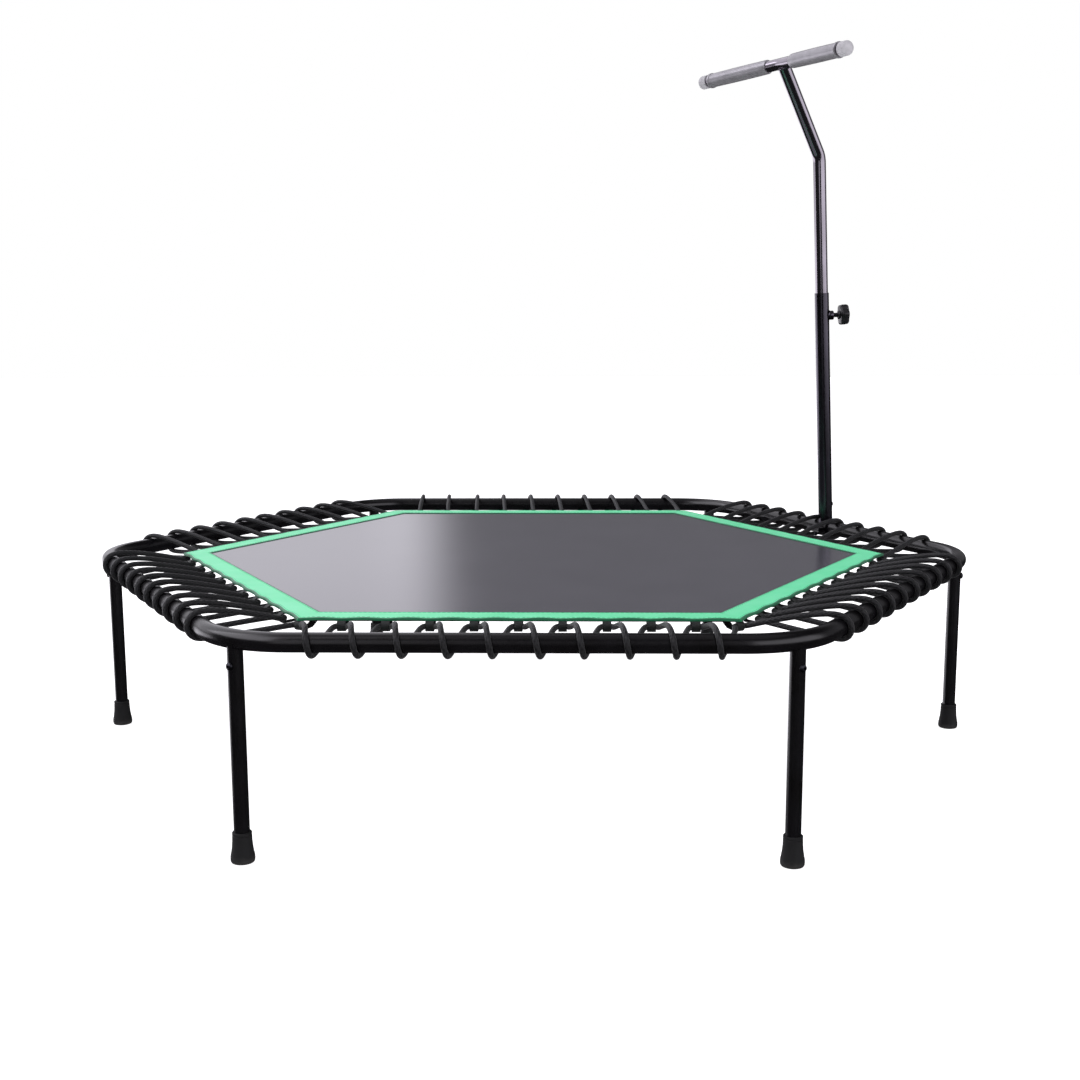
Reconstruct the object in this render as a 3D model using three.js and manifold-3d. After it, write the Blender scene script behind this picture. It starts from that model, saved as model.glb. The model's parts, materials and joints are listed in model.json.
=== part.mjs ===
// Mini trampoline: a hexagonal fitness rebounder with a leaning telescopic mast and a T-bar handle.
// Millimetres, +Z up. The origin is the hexagon's centre on the floor, with a corner on the +X axis.
import * as THREE from 'three';
import { mergeVertices } from 'three/addons/utils/BufferGeometryUtils.js';
import Module from 'manifold-3d';

const wasm = await Module();
wasm.setup();

// ---- Driving dimensions ----
const SIDES = 6;
const CLEAR = 0.3; // gap between two pieces that touch
const TUBE_FACETS = 12;
const SMALL_FACETS = 10;

const RAIL_APOTHEM = 613; // centre to the middle of a side, on the rail's centre line
const RAIL_HEIGHT = 287; // floor to the rail's centre line
const RAIL_RADIUS = 12.5;
const RAIL_WALL = 1.5;
const RAIL_BEND_RADIUS = 132;
const RAIL_BEND_STEPS = 4;
const SPIGOT_LENGTH = 45;
const SPIGOT_TO_BEND = 12.5; // straight tube left between a spigot's tip and the bend
const SHOULDER_LENGTH = 4; // the swaged step behind a spigot

const LEG_RADIUS = 10;
const LEG_WALL = 1.2;
const STUB_LENGTH = 50; // welded leg stub, below the rail
const LEG_BOLT_DROP = 20; // leg bolt's centre, below the rail
const BOLT_RADIUS = 2.9;
const BOLT_HOLE_RADIUS = 3.3;
const BOLT_HEAD_RADIUS = 5;
const BOLT_HEAD_HEIGHT = 3.5;
const FOOT_HEIGHT = 40;
const FOOT_FLOOR = 8; // rubber below the leg's end
const FOOT_WALL = 1.6; // rubber around the leg at the lip
const FOOT_FLARE_RADIUS = 15.5;

const MAT_EDGE_GAP = 118.5; // mat's edge to the rail's centre line
const MAT_ABOVE_RAIL = 2; // mat's middle plane above the rail's centre line
const MAT_THICKNESS = 2;
const WEB_INSET = 2.5; // mat's edge to the webbing's edge
const BORDER_WIDTH = 38.5;
const BORDER_THICKNESS = 1.2;

const WEB_THICKNESS = 1.5;
const WEB_WIDTH = 28;
const LOOP_WIDTH = 10; // along the mat's edge
const LOOP_DEPTH = 14; // hole, across the mat's edge
const LOOP_HEIGHT = 9; // hole
const CORNER_LOOP_SETBACK = 6; // corner loop's mouth, inside the mat's corner

const CORD_RADIUS = 3.8;
const CORD_FACETS = 5;
const WRAPS_PER_SIDE = 10;
const WRAP_TO_BEND = 30; // first and last wrap, from the start of the rail's bend
const WRAP_SLANT = 8.5; // how far a wrap creeps along the rail
const WRAP_TOP_ANGLE = 100; // degrees round the rail, from straight out
const WRAP_BOTTOM_ANGLE = -95;
const WRAP_STEPS = 4;
const CORD_TURN_RADIUS = 13; // the cord's turn through a loop

const MAST_LEAN = 3.3; // degrees, towards the mat
const MAST_RADIUS = 12.5;
const MAST_WALL = 1.2;
const MAST_TOP = 424; // lower tube's top, above the rail's centre line
const MAST_STUB_LENGTH = 60; // above the saddle
const MAST_BOLT_HEIGHT = 42; // above the rail's centre line
const SADDLE_WALL = 3;
const SADDLE_SPLIT = 0.8; // gap between the two halves
const SADDLE_TO_CORD = 2.5;
const SCREW_OFFSET = 23; // saddle screws, from the rail's centre line
const FLANGE_REACH = 30;
const FLANGE_THICKNESS = 3.2;

const SLIDER_WALL = 1.2;
const SLIDER_INSERTION = 250; // upper tube inside the lower one
const ARM_HEIGHT = 659; // the arm's bend, above the rail's centre line
const ARM_LENGTH = 173; // bend to the cross bar's centre line
const ARM_ANGLE = 26; // degrees from the mast's line, towards the mat
const ARM_BEND_RADIUS = 42;
const ARM_BEND_STEPS = 3;
const ARM_END_SETBACK = 7; // coped end, short of the bar's centre line

const BAR_RADIUS = 9.5;
const BAR_WALL = 1.5;
const BAR_HALF_LENGTH = 184; // one half of the cross bar, without its cap
const BAR_SWEEP = 7.8; // degrees, each half, towards the user
const BAR_DROOP = 1.7; // degrees, each half
const BAR_BEND_RADIUS = 80;
const GRIP_RADIUS = 12;
const GRIP_START = 34;
const GRIP_LENGTH = 144;
const GRIP_BEAD = 1;
const CAP_LENGTH = 20;
const CAP_RADIUS = 11.8;
const CAP_STEM = 14;
const PLUG_STEM = 12;
const PLUG_FLANGE = 4;

const KNOB_BELOW_TOP = 40; // knob's axis, below the lower tube's top
const KNOB_TURN = -25; // degrees round the mast, from straight out
const BOSS_RADIUS = 8;
const BOSS_END = 20; // boss's face, from the mast's axis
const KNOB_GAP = 8; // boss to knob
const KNOB_HUB_RADIUS = 7;
const KNOB_HUB_LENGTH = 3;
const KNOB_THICKNESS = 15.5;
const KNOB_RADIUS = 18;
const KNOB_LOBE = 1.5;
const KNOB_LOBES = 6;
const KNOB_POINTS_PER_LOBE = 4;
const SCREW_RADIUS = 4;
const SCREW_IN_KNOB = 10;
const PAD_THICKNESS = 1.7;

// ---- Sizes that follow ----
const rad = THREE.MathUtils.degToRad;
const HALF_CORNER = Math.PI / SIDES;
const facetFit = (radius, facets = TUBE_FACETS) => radius * Math.cos(Math.PI / facets);
const aroundFit = (radius, facets = TUBE_FACETS) => (radius + CLEAR) / Math.cos(Math.PI / facets);

const railCorner = RAIL_APOTHEM / Math.cos(HALF_CORNER);
const railSide = 2 * RAIL_APOTHEM * Math.tan(HALF_CORNER);
const bendTangent = RAIL_BEND_RADIUS * Math.tan(HALF_CORNER);
const bendCentre = railCorner - RAIL_BEND_RADIUS / Math.cos(HALF_CORNER);
const legPlace = bendCentre + RAIL_BEND_RADIUS;
const seamFromCorner = bendTangent + SPIGOT_TO_BEND + SPIGOT_LENGTH;
const railBore = RAIL_RADIUS - RAIL_WALL;
const stubRadius = facetFit(LEG_RADIUS - LEG_WALL) - CLEAR;

const matApothem = RAIL_APOTHEM - MAT_EDGE_GAP;
const matCorner = matApothem / Math.cos(HALF_CORNER);
const matSide = 2 * matApothem * Math.tan(HALF_CORNER);
const matBottom = MAT_ABOVE_RAIL - MAT_THICKNESS / 2;
const matTop = MAT_ABOVE_RAIL + MAT_THICKNESS / 2;
const webTop = matBottom - CLEAR;
const webBottom = webTop - WEB_THICKNESS;

const wrapPitch = (railSide - 2 * (bendTangent + WRAP_TO_BEND)) / (WRAPS_PER_SIDE - 1);
const wrapStepAngle = rad(WRAP_TOP_ANGLE - WRAP_BOTTOM_ANGLE) / WRAP_STEPS;
const wrapRadius = (RAIL_RADIUS + CLEAR + CORD_RADIUS) / Math.cos(wrapStepAngle / 2);
const loopPitch = matSide / WRAPS_PER_SIDE;
const cordHeight = webBottom - LOOP_HEIGHT / 2;
const turnCentre = CORD_TURN_RADIUS - LOOP_DEPTH / 2 - WEB_THICKNESS; // from the loop's mouth, outwards

const saddleBore = aroundFit(RAIL_RADIUS);
const saddleRadius = saddleBore + SADDLE_WALL;
const saddleLength = wrapPitch - 2 * CORD_RADIUS - WRAP_SLANT - 2 * SADDLE_TO_CORD;
const mastBore = MAST_RADIUS - MAST_WALL;
const mastStubRadius = facetFit(mastBore) - CLEAR;
const sliderRadius = mastBore - CLEAR;
const sliderBore = sliderRadius - SLIDER_WALL;
const sliderEnd = MAST_TOP - SLIDER_INSERTION;
const armAngle = rad(ARM_ANGLE);
const knobHeight = MAST_TOP - KNOB_BELOW_TOP;
const padStart = sliderRadius + CLEAR;
const screwStart = padStart + PAD_THICKNESS + CLEAR;
const knobStart = BOSS_END + KNOB_GAP;

// ---- Finishes ----
const finish = (color, roughness, metalness) => new THREE.MeshStandardMaterial({ color, roughness, metalness });
const powderCoat = finish('#17171b', 0.42, 0.15);
const smokedChrome = finish('#8d888f', 0.15, 1);
const blackChrome = finish('#56535a', 0.25, 1);
const blackenedSteel = finish('#3a3a3e', 0.4, 0.9);
const blackRubber = finish('#141414', 0.85, 0);
const blackCord = finish('#1b1b1d', 0.8, 0);
const wovenMat = finish('#5d5c63', 0.55, 0);
const mintBand = finish('#6ee8ac', 0.6, 0);
const blackWebbing = finish('#151a18', 0.8, 0);
const gripSleeve = finish('#b0aeb3', 0.4, 0.3);
const blackPlastic = finish('#101012', 0.5, 0);
const greyPlastic = finish('#a8a6aa', 0.5, 0);
const paleNylon = finish('#d8d6cc', 0.6, 0);

// ---- Solids from geometry, joins and cuts ----
/** The geometry with shared vertices, no empty faces, and its faces pointing out. */
function closed(geometry) {
  const bare = geometry.clone();
  bare.deleteAttribute('normal');
  bare.deleteAttribute('uv');
  const merged = mergeVertices(bare, 1e-4);
  const at = merged.attributes.position;
  const corner = [0, 1, 2].map(() => new THREE.Vector3());
  const faces = [];
  let volume = 0;
  for (let i = 0; i < merged.index.count; i += 3) {
    const face = [0, 1, 2].map((j) => merged.index.getX(i + j));
    if (new Set(face).size < 3) continue;
    face.forEach((vertex, j) => corner[j].fromBufferAttribute(at, vertex));
    volume += corner[0].dot(corner[1].cross(corner[2]));
    faces.push(face);
  }
  merged.setIndex(faces.flatMap((face) => (volume < 0 ? face.reverse() : face)));
  return merged;
}

function solid(geometry) {
  const { attributes, index } = closed(geometry);
  const triVerts = new Uint32Array(index.array);
  const vertProperties = new Float32Array(attributes.position.array);
  return new wasm.Manifold(new wasm.Mesh({ numProp: 3, vertProperties, triVerts }));
}

function fromSolid(manifold) {
  const { vertProperties, triVerts } = manifold.getMesh();
  const geometry = new THREE.BufferGeometry();
  geometry.setAttribute('position', new THREE.BufferAttribute(vertProperties, 3));
  geometry.setIndex(new THREE.BufferAttribute(triVerts, 1));
  return geometry;
}

// ---- Shapes ----
/** A route through chosen points, one step of a sweep for each stretch between two of them. */
class Route extends THREE.Curve {
  constructor(points) {
    super();
    this.points = points;
  }

  getPointAt(u) {
    const place = u * (this.points.length - 1);
    const i = Math.min(Math.floor(place), this.points.length - 2);
    return this.points[i].clone().lerp(this.points[i + 1], place - i);
  }

  getTangentAt(u) {
    const last = this.points.length - 1;
    const i = Math.round(u * last);
    const tangent = new THREE.Vector3();
    for (const j of [i - 1, i]) {
      if (j < 0 || j >= last) continue;
      tangent.add(this.points[j + 1].clone().sub(this.points[j]).normalize());
    }
    return tangent.normalize();
  }
}

function circlePoints(radius, facets) {
  const turn = (2 * Math.PI) / facets;
  return Array.from({ length: facets }, (_, i) =>
    new THREE.Vector2(radius * Math.cos(i * turn), radius * Math.sin(i * turn)));
}

/** A round section, hollow if it has a bore. */
function section(radius, bore = 0, facets = TUBE_FACETS) {
  const shape = new THREE.Shape(circlePoints(radius, facets));
  if (bore > 0) shape.holes.push(new THREE.Path(circlePoints(bore, facets)));
  return shape;
}

function sweep(points, radius, bore = 0, facets = TUBE_FACETS) {
  const extrudePath = new Route(points);
  return new THREE.ExtrudeGeometry(section(radius, bore, facets), { steps: points.length - 1, extrudePath });
}

/** A prism of a shape between two heights. */
function prism(shape, low, high) {
  return new THREE.ExtrudeGeometry(shape, { depth: high - low, bevelEnabled: false }).translate(0, 0, low);
}

const rod = (radius, low, high, facets = TUBE_FACETS) => prism(section(radius, 0, facets), low, high);

/** A body turned about Z from pairs of radius and height. */
function turned(profile, facets = TUBE_FACETS) {
  const points = profile.map(([radius, height]) => new THREE.Vector2(radius, height));
  return new THREE.LatheGeometry(points, facets).rotateX(Math.PI / 2);
}

function box(low, high) {
  const size = high.map((value, i) => value - low[i]);
  const middle = high.map((value, i) => (value + low[i]) / 2);
  return new THREE.BoxGeometry(...size).translate(...middle);
}

/** Turns a body's own Z axis to lie along X. */
const alongX = (geometry) => geometry.rotateY(Math.PI / 2);

/** A dome-headed bolt along Z, its head's seat at a height and its shank reaching down. */
function bolt(seat, shank) {
  const crown = seat + BOLT_HEAD_HEIGHT;
  return turned([
    [0, seat - shank], [BOLT_RADIUS, seat - shank], [BOLT_RADIUS, seat], [BOLT_HEAD_RADIUS, seat],
    [BOLT_HEAD_RADIUS, seat + 1.2], [BOLT_HEAD_RADIUS - 1.6, crown - 0.4], [0, crown],
  ], SMALL_FACETS);
}

// ---- The assembly ----
const trampoline = new THREE.Group();
const ring = new THREE.Group(); // everything at the rail's height
ring.position.z = RAIL_HEIGHT;
trampoline.add(ring);

function add(parent, name, geometry, material) {
  const mesh = new THREE.Mesh(closed(geometry), material);
  mesh.name = name;
  parent.add(mesh);
  return mesh;
}

/** A group turned about the hexagon's axis, in degrees. */
function turnedGroup(angle) {
  const group = new THREE.Group();
  group.rotation.z = rad(angle);
  ring.add(group);
  return group;
}

// ---- Rail ----
const sideIn = new THREE.Vector3(Math.sin(HALF_CORNER), Math.cos(HALF_CORNER), 0);
const sideOut = new THREE.Vector3(-Math.sin(HALF_CORNER), Math.cos(HALF_CORNER), 0);
const cornerPoint = new THREE.Vector3(railCorner, 0, 0);
const fromCorner = (direction, distance) => cornerPoint.clone().addScaledVector(direction, distance);

/** The centre line of one section, round its corner, with its ends moved out by a margin. */
function railRoute(margin = 0) {
  const points = [fromCorner(sideIn, -seamFromCorner - margin)];
  for (let i = 0; i <= RAIL_BEND_STEPS; i += 1) {
    const angle = HALF_CORNER * ((2 * i) / RAIL_BEND_STEPS - 1);
    const x = bendCentre + RAIL_BEND_RADIUS * Math.cos(angle);
    points.push(new THREE.Vector3(x, RAIL_BEND_RADIUS * Math.sin(angle), 0));
  }
  points.push(fromCorner(sideOut, railSide - seamFromCorner - CLEAR + margin));
  return points;
}

function railSection() {
  const stub = solid(rod(stubRadius, -RAIL_RADIUS - STUB_LENGTH, 0).translate(legPlace, 0, 0));
  const boltHole = solid(alongX(rod(BOLT_HOLE_RADIUS, -LEG_RADIUS, LEG_RADIUS, SMALL_FACETS))
    .translate(legPlace, 0, -RAIL_RADIUS - LEG_BOLT_DROP));
  const spigotRadius = facetFit(railBore) - CLEAR;
  const spigotBore = spigotRadius - RAIL_WALL;
  const ringRadius = railBore + RAIL_WALL / 2;
  const spigot = turned([
    [spigotBore, -SHOULDER_LENGTH], [ringRadius, -SHOULDER_LENGTH], [ringRadius, -1],
    [spigotRadius, -1], [spigotRadius, SPIGOT_LENGTH], [spigotBore, SPIGOT_LENGTH],
    [spigotBore, -SHOULDER_LENGTH],
  ]);
  const aim = new THREE.Quaternion().setFromUnitVectors(new THREE.Vector3(0, 0, 1), sideOut);
  const tip = railRoute().at(-1);
  spigot.applyQuaternion(aim).translate(tip.x, tip.y, tip.z);
  return fromSolid(solid(sweep(railRoute(), RAIL_RADIUS))
    .add(stub)
    .subtract(solid(sweep(railRoute(1), railBore)))
    .subtract(boltHole)
    .add(solid(spigot)));
}

// ---- Leg, its bolt and its foot, below one corner ----
function legTube() {
  const low = FOOT_FLOOR + CLEAR - RAIL_HEIGHT;
  const tube = solid(prism(section(LEG_RADIUS, LEG_RADIUS - LEG_WALL), low, -RAIL_RADIUS / 2));
  const cope = solid(sweep(railRoute(), aroundFit(RAIL_RADIUS)).translate(-legPlace, 0, 0));
  const hole = solid(alongX(rod(BOLT_HOLE_RADIUS, 0, LEG_RADIUS + 1, SMALL_FACETS))
    .translate(0, 0, -RAIL_RADIUS - LEG_BOLT_DROP));
  return fromSolid(tube.subtract(cope).subtract(hole)).translate(legPlace, 0, 0);
}

function footCap() {
  const socket = aroundFit(LEG_RADIUS);
  const lip = socket + FOOT_WALL;
  return turned([
    [0, 0], [FOOT_FLARE_RADIUS - 2, 0], [FOOT_FLARE_RADIUS - 0.3, 2], [FOOT_FLARE_RADIUS, 6],
    [FOOT_FLARE_RADIUS - 0.7, 12], [lip + 0.4, FOOT_HEIGHT * 0.7], [lip, FOOT_HEIGHT],
    [socket, FOOT_HEIGHT], [socket, FOOT_FLOOR], [0, FOOT_FLOOR],
  ]).translate(legPlace, 0, -RAIL_HEIGHT);
}

// ---- Mat and border ----
function hexagon(apothem) {
  return circlePoints(apothem / Math.cos(HALF_CORNER), SIDES);
}

function borderRing() {
  const shape = new THREE.Shape(hexagon(matApothem));
  shape.holes.push(new THREE.Path(hexagon(matApothem - BORDER_WIDTH)));
  const low = matTop + CLEAR;
  return prism(shape, low, low + BORDER_THICKNESS);
}

// ---- Cord loops: places on the mat's edge, in a side's own frame (X out, Y along the side) ----
/** The mouth of a loop: loop 0 sits at the side's first corner, the last is the next side's first. */
function loopPlace(i) {
  const atCorner = i % WRAPS_PER_SIDE === 0;
  if (!atCorner) return { x: matApothem, y: i * loopPitch - matSide / 2, angle: 0 };
  const angle = i === 0 ? -HALF_CORNER : HALF_CORNER;
  const reach = matCorner - CORNER_LOOP_SETBACK;
  return { x: reach * Math.cos(angle), y: reach * Math.sin(angle), angle };
}

/** A point given from a loop's mouth, outwards and along the edge. */
function fromLoop({ x, y, angle }, out, along, height) {
  const point = new THREE.Vector3(out, along, height);
  return point.applyAxisAngle(new THREE.Vector3(0, 0, 1), angle).add(new THREE.Vector3(x, y, 0));
}

/** One loop: a band folded into a tunnel below the webbing, open along the mat's edge. */
function loopBand(place) {
  const wall = WEB_THICKNESS;
  const rectangle = (x0, y0, x1, y1) => [[x0, y0], [x1, y0], [x1, y1], [x0, y1]]
    .map(([x, y]) => new THREE.Vector2(x, y));
  const low = webBottom - LOOP_HEIGHT;
  const shape = new THREE.Shape(rectangle(-LOOP_DEPTH - 2 * wall, low - wall, 0, webBottom + wall / 2));
  const hole = rectangle(-LOOP_DEPTH - wall, low, -wall, webBottom - CLEAR);
  shape.holes.push(new THREE.Path(hole));
  return prism(shape, -LOOP_WIDTH / 2, LOOP_WIDTH / 2)
    .rotateX(Math.PI / 2)
    .rotateZ(place.angle)
    .translate(place.x, place.y, 0);
}

/** The webbing of one side: a mitred strip, with room left at its far end for the next corner loop. */
function edgeWebbing() {
  const outer = matApothem - WEB_INSET;
  const inner = outer - WEB_WIDTH;
  const slope = Math.tan(HALF_CORNER);
  const nearGap = CLEAR / Math.cos(HALF_CORNER);
  const farGap = (LOOP_WIDTH / 2 + 1) / Math.cos(HALF_CORNER);
  const strip = new THREE.Shape([
    new THREE.Vector2(inner, nearGap - inner * slope), new THREE.Vector2(outer, nearGap - outer * slope),
    new THREE.Vector2(outer, outer * slope - farGap), new THREE.Vector2(inner, inner * slope - farGap),
  ]);
  let webbing = solid(prism(strip, webBottom, webTop));
  for (let i = 0; i < WRAPS_PER_SIDE; i += 1) webbing = webbing.add(solid(loopBand(loopPlace(i))));
  return fromSolid(webbing);
}

// ---- Elastic cord: through a loop, over the rail, down its outside, back below to the next loop ----
function loopTurn(i) {
  const place = loopPlace(i);
  return [180, 240, 300, 360].map((degrees) => {
    const out = turnCentre + CORD_TURN_RADIUS * Math.sin(rad(degrees));
    return fromLoop(place, out, CORD_TURN_RADIUS * Math.cos(rad(degrees)), cordHeight);
  });
}

function railWrap(i) {
  const middle = (i - (WRAPS_PER_SIDE - 1) / 2) * wrapPitch;
  return Array.from({ length: WRAP_STEPS + 1 }, (_, j) => {
    const angle = rad(WRAP_TOP_ANGLE) - j * wrapStepAngle;
    const along = middle + WRAP_SLANT * (j / WRAP_STEPS - 0.5);
    return new THREE.Vector3(RAIL_APOTHEM + wrapRadius * Math.cos(angle), along, wrapRadius * Math.sin(angle));
  });
}

/** One side's length of cord. Its two ends lie halfway along the strands that pass a corner. */
function bungeeCord() {
  const lastBottom = railWrap(WRAPS_PER_SIDE - 1).at(-1);
  const nextLoop = loopTurn(WRAPS_PER_SIDE)[0];
  const halfway = lastBottom.clone().lerp(nextLoop, 0.5);
  const start = halfway.clone().applyAxisAngle(new THREE.Vector3(0, 0, 1), -2 * HALF_CORNER);
  const end = halfway.clone().addScaledVector(nextLoop.clone().sub(lastBottom).normalize(), -CLEAR);
  const route = [start];
  for (let i = 0; i < WRAPS_PER_SIDE; i += 1) route.push(...loopTurn(i), ...railWrap(i));
  return sweep([...route, end], CORD_RADIUS, 0, CORD_FACETS);
}

// ---- Six corners and six sides ----
const cornerPieces = { section: railSection(), leg: legTube(), foot: footCap() };
const legBolt = alongX(bolt(LEG_RADIUS + CLEAR, LEG_RADIUS + stubRadius / 2))
  .translate(legPlace, 0, -RAIL_RADIUS - LEG_BOLT_DROP);
const sidePieces = { webbing: edgeWebbing(), cord: bungeeCord() };
for (let i = 0; i < SIDES; i += 1) {
  const corner = turnedGroup((360 * i) / SIDES);
  add(corner, `rail_section_${i + 1}`, cornerPieces.section, powderCoat);
  add(corner, `leg_tube_${i + 1}`, cornerPieces.leg, powderCoat);
  add(corner, `leg_bolt_${i + 1}`, legBolt, blackenedSteel);
  add(corner, `foot_cap_${i + 1}`, cornerPieces.foot, blackRubber);
  const side = turnedGroup((360 * (i + 0.5)) / SIDES);
  add(side, `edge_webbing_${i + 1}`, sidePieces.webbing, blackWebbing);
  add(side, `bungee_cord_${i + 1}`, sidePieces.cord, blackCord);
}
add(ring, 'jump_mat', prism(new THREE.Shape(hexagon(matApothem)), matBottom, matTop), wovenMat);
add(ring, 'mat_border', borderRing(), mintBand);

// ---- Mast, in its own frame: X out from the mat, Y along the rail, Z up the leaning mast ----
const mastSide = turnedGroup(180 / SIDES);
const mast = new THREE.Group();
mast.position.x = RAIL_APOTHEM;
mast.rotation.y = -rad(MAST_LEAN);
mastSide.add(mast);

/** A round bar along the rail, through the mast's foot. */
const alongRail = (radius, length) => rod(radius, -length / 2, length / 2, 2 * TUBE_FACETS).rotateX(Math.PI / 2);

function saddleHalf(isUpper) {
  const half = saddleLength / 2;
  const thick = FLANGE_THICKNESS + SADDLE_SPLIT / 2;
  let whole = solid(alongRail(saddleRadius, saddleLength))
    .add(solid(box([-FLANGE_REACH, -half + 1, -thick], [FLANGE_REACH, half - 1, thick])));
  if (isUpper) whole = whole.add(solid(rod(mastStubRadius, 0, saddleRadius + MAST_STUB_LENGTH)));
  whole = whole.subtract(solid(alongRail(saddleBore, saddleLength + 2)));
  for (const side of [-1, 1]) {
    whole = whole.subtract(solid(rod(BOLT_HOLE_RADIUS, -2 * thick, 2 * thick, SMALL_FACETS)
      .translate(side * SCREW_OFFSET, 0, 0)));
  }
  const reach = 2 * FLANGE_REACH + MAST_STUB_LENGTH;
  const cut = isUpper
    ? box([-reach, -reach, -reach], [reach, reach, SADDLE_SPLIT / 2])
    : box([-reach, -reach, -SADDLE_SPLIT / 2], [reach, reach, reach]);
  whole = whole.subtract(solid(cut));
  if (!isUpper) return fromSolid(whole);
  const boltHole = alongX(rod(BOLT_HOLE_RADIUS, -MAST_RADIUS, MAST_RADIUS, SMALL_FACETS));
  return fromSolid(whole.subtract(solid(boltHole.translate(0, 0, MAST_BOLT_HEIGHT))));
}

function lowerMast() {
  const boss = alongX(rod(BOSS_RADIUS, 0, BOSS_END)).rotateZ(rad(KNOB_TURN)).translate(0, 0, knobHeight);
  const screwHole = alongX(rod(aroundFit(SCREW_RADIUS), 0, BOSS_END + 1))
    .rotateZ(rad(KNOB_TURN)).translate(0, 0, knobHeight);
  const boltHole = alongX(rod(BOLT_HOLE_RADIUS, 0, MAST_RADIUS + 1, SMALL_FACETS))
    .translate(0, 0, MAST_BOLT_HEIGHT);
  const cope = alongRail(aroundFit(saddleRadius, 2 * TUBE_FACETS), 4 * MAST_RADIUS);
  return fromSolid(solid(rod(MAST_RADIUS, saddleRadius / 2, MAST_TOP))
    .add(solid(boss))
    .subtract(solid(rod(mastBore, 0, MAST_TOP + 1)))
    .subtract(solid(screwHole))
    .subtract(solid(boltHole))
    .subtract(solid(cope)));
}

add(mast, 'mast_saddle_upper', saddleHalf(true), powderCoat);
add(mast, 'mast_saddle_lower', saddleHalf(false), powderCoat);
const screwSeat = FLANGE_THICKNESS + SADDLE_SPLIT / 2 + CLEAR;
const saddleScrew = bolt(screwSeat, 2 * screwSeat + 3);
add(mast, 'saddle_screw_inner', saddleScrew.clone().translate(-SCREW_OFFSET, 0, 0), blackenedSteel);
add(mast, 'saddle_screw_outer', saddleScrew.clone().translate(SCREW_OFFSET, 0, 0), blackenedSteel);
add(mast, 'mast_lower_tube', lowerMast(), blackChrome);
const mastBolt = alongX(bolt(MAST_RADIUS + CLEAR, MAST_RADIUS + mastStubRadius / 2));
add(mast, 'mast_base_bolt', mastBolt.translate(0, 0, MAST_BOLT_HEIGHT), blackenedSteel);

// ---- Handle ----
const armDirection = new THREE.Vector3(-Math.sin(armAngle), 0, Math.cos(armAngle));
const barCentre = new THREE.Vector3(0, 0, ARM_HEIGHT).addScaledVector(armDirection, ARM_LENGTH);

/** Which way a half of the bar runs: side 1 is the mast frame's +Y half, -1 the other. */
function halfDirection(side) {
  const flat = Math.cos(rad(BAR_DROOP));
  return new THREE.Vector3(
    -Math.sin(rad(BAR_SWEEP)) * flat, side * Math.cos(rad(BAR_SWEEP)) * flat, -Math.sin(rad(BAR_DROOP)));
}

function barRoute(halfLength) {
  const tangent = BAR_BEND_RADIUS * Math.tan(rad(BAR_SWEEP));
  const along = (side, distance) => barCentre.clone().addScaledVector(halfDirection(side), distance);
  const middle = along(1, tangent / 2).lerp(along(-1, tangent / 2), 0.5);
  return [along(1, halfLength), along(1, tangent), middle, along(-1, tangent), along(-1, halfLength)];
}

function upperMast() {
  const tangent = ARM_BEND_RADIUS * Math.tan(armAngle / 2);
  const route = [new THREE.Vector3(0, 0, sliderEnd)];
  for (let i = 0; i <= ARM_BEND_STEPS; i += 1) {
    const angle = (armAngle * i) / ARM_BEND_STEPS;
    const x = ARM_BEND_RADIUS * (Math.cos(angle) - 1);
    route.push(new THREE.Vector3(x, 0, ARM_HEIGHT - tangent + ARM_BEND_RADIUS * Math.sin(angle)));
  }
  route.push(barCentre.clone().addScaledVector(armDirection, -ARM_END_SETBACK));
  const cope = sweep(barRoute(3 * sliderRadius), aroundFit(BAR_RADIUS));
  return fromSolid(solid(sweep(route, sliderRadius, sliderBore)).subtract(solid(cope)));
}

function tubePlug() {
  const stem = facetFit(sliderBore) - CLEAR;
  const top = sliderEnd - CLEAR;
  return turned([
    [0, top - PLUG_FLANGE], [sliderRadius - 1, top - PLUG_FLANGE], [sliderRadius - 0.3, top - PLUG_FLANGE + 1],
    [sliderRadius - 0.3, top], [stem, top], [stem, top + PLUG_STEM], [0, top + PLUG_STEM],
  ]);
}

const handle = new THREE.Group();
mast.add(handle);
add(handle, 'mast_upper_tube', upperMast(), smokedChrome);
add(handle, 'upper_tube_plug', tubePlug(), blackPlastic);
add(handle, 'handle_bar', sweep(barRoute(BAR_HALF_LENGTH), BAR_RADIUS, BAR_RADIUS - BAR_WALL), smokedChrome);

function grip() {
  const bore = aroundFit(BAR_RADIUS);
  const end = GRIP_START + GRIP_LENGTH;
  return turned([
    [bore, GRIP_START], [GRIP_RADIUS, GRIP_START], [GRIP_RADIUS, end - 6], [GRIP_RADIUS + GRIP_BEAD, end - 4],
    [GRIP_RADIUS + GRIP_BEAD, end], [bore, end], [bore, GRIP_START],
  ]);
}

function endCap() {
  const stem = facetFit(BAR_RADIUS - BAR_WALL) - CLEAR;
  const seat = BAR_HALF_LENGTH + CLEAR;
  const tip = seat + CAP_LENGTH;
  return turned([
    [0, seat - CAP_STEM], [stem, seat - CAP_STEM], [stem, seat], [CAP_RADIUS, seat], [CAP_RADIUS, tip - 6],
    [CAP_RADIUS - 2, tip - 2], [CAP_RADIUS - 5.5, tip - 0.3], [0, tip],
  ]);
}

for (const [name, side] of [['left', 1], ['right', -1]]) {
  const half = new THREE.Group();
  half.position.copy(barCentre);
  half.quaternion.setFromUnitVectors(new THREE.Vector3(0, 0, 1), halfDirection(side));
  handle.add(half);
  add(half, `grip_${name}`, grip(), gripSleeve);
  add(half, `bar_end_cap_${name}`, endCap(), greyPlastic);
}

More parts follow.
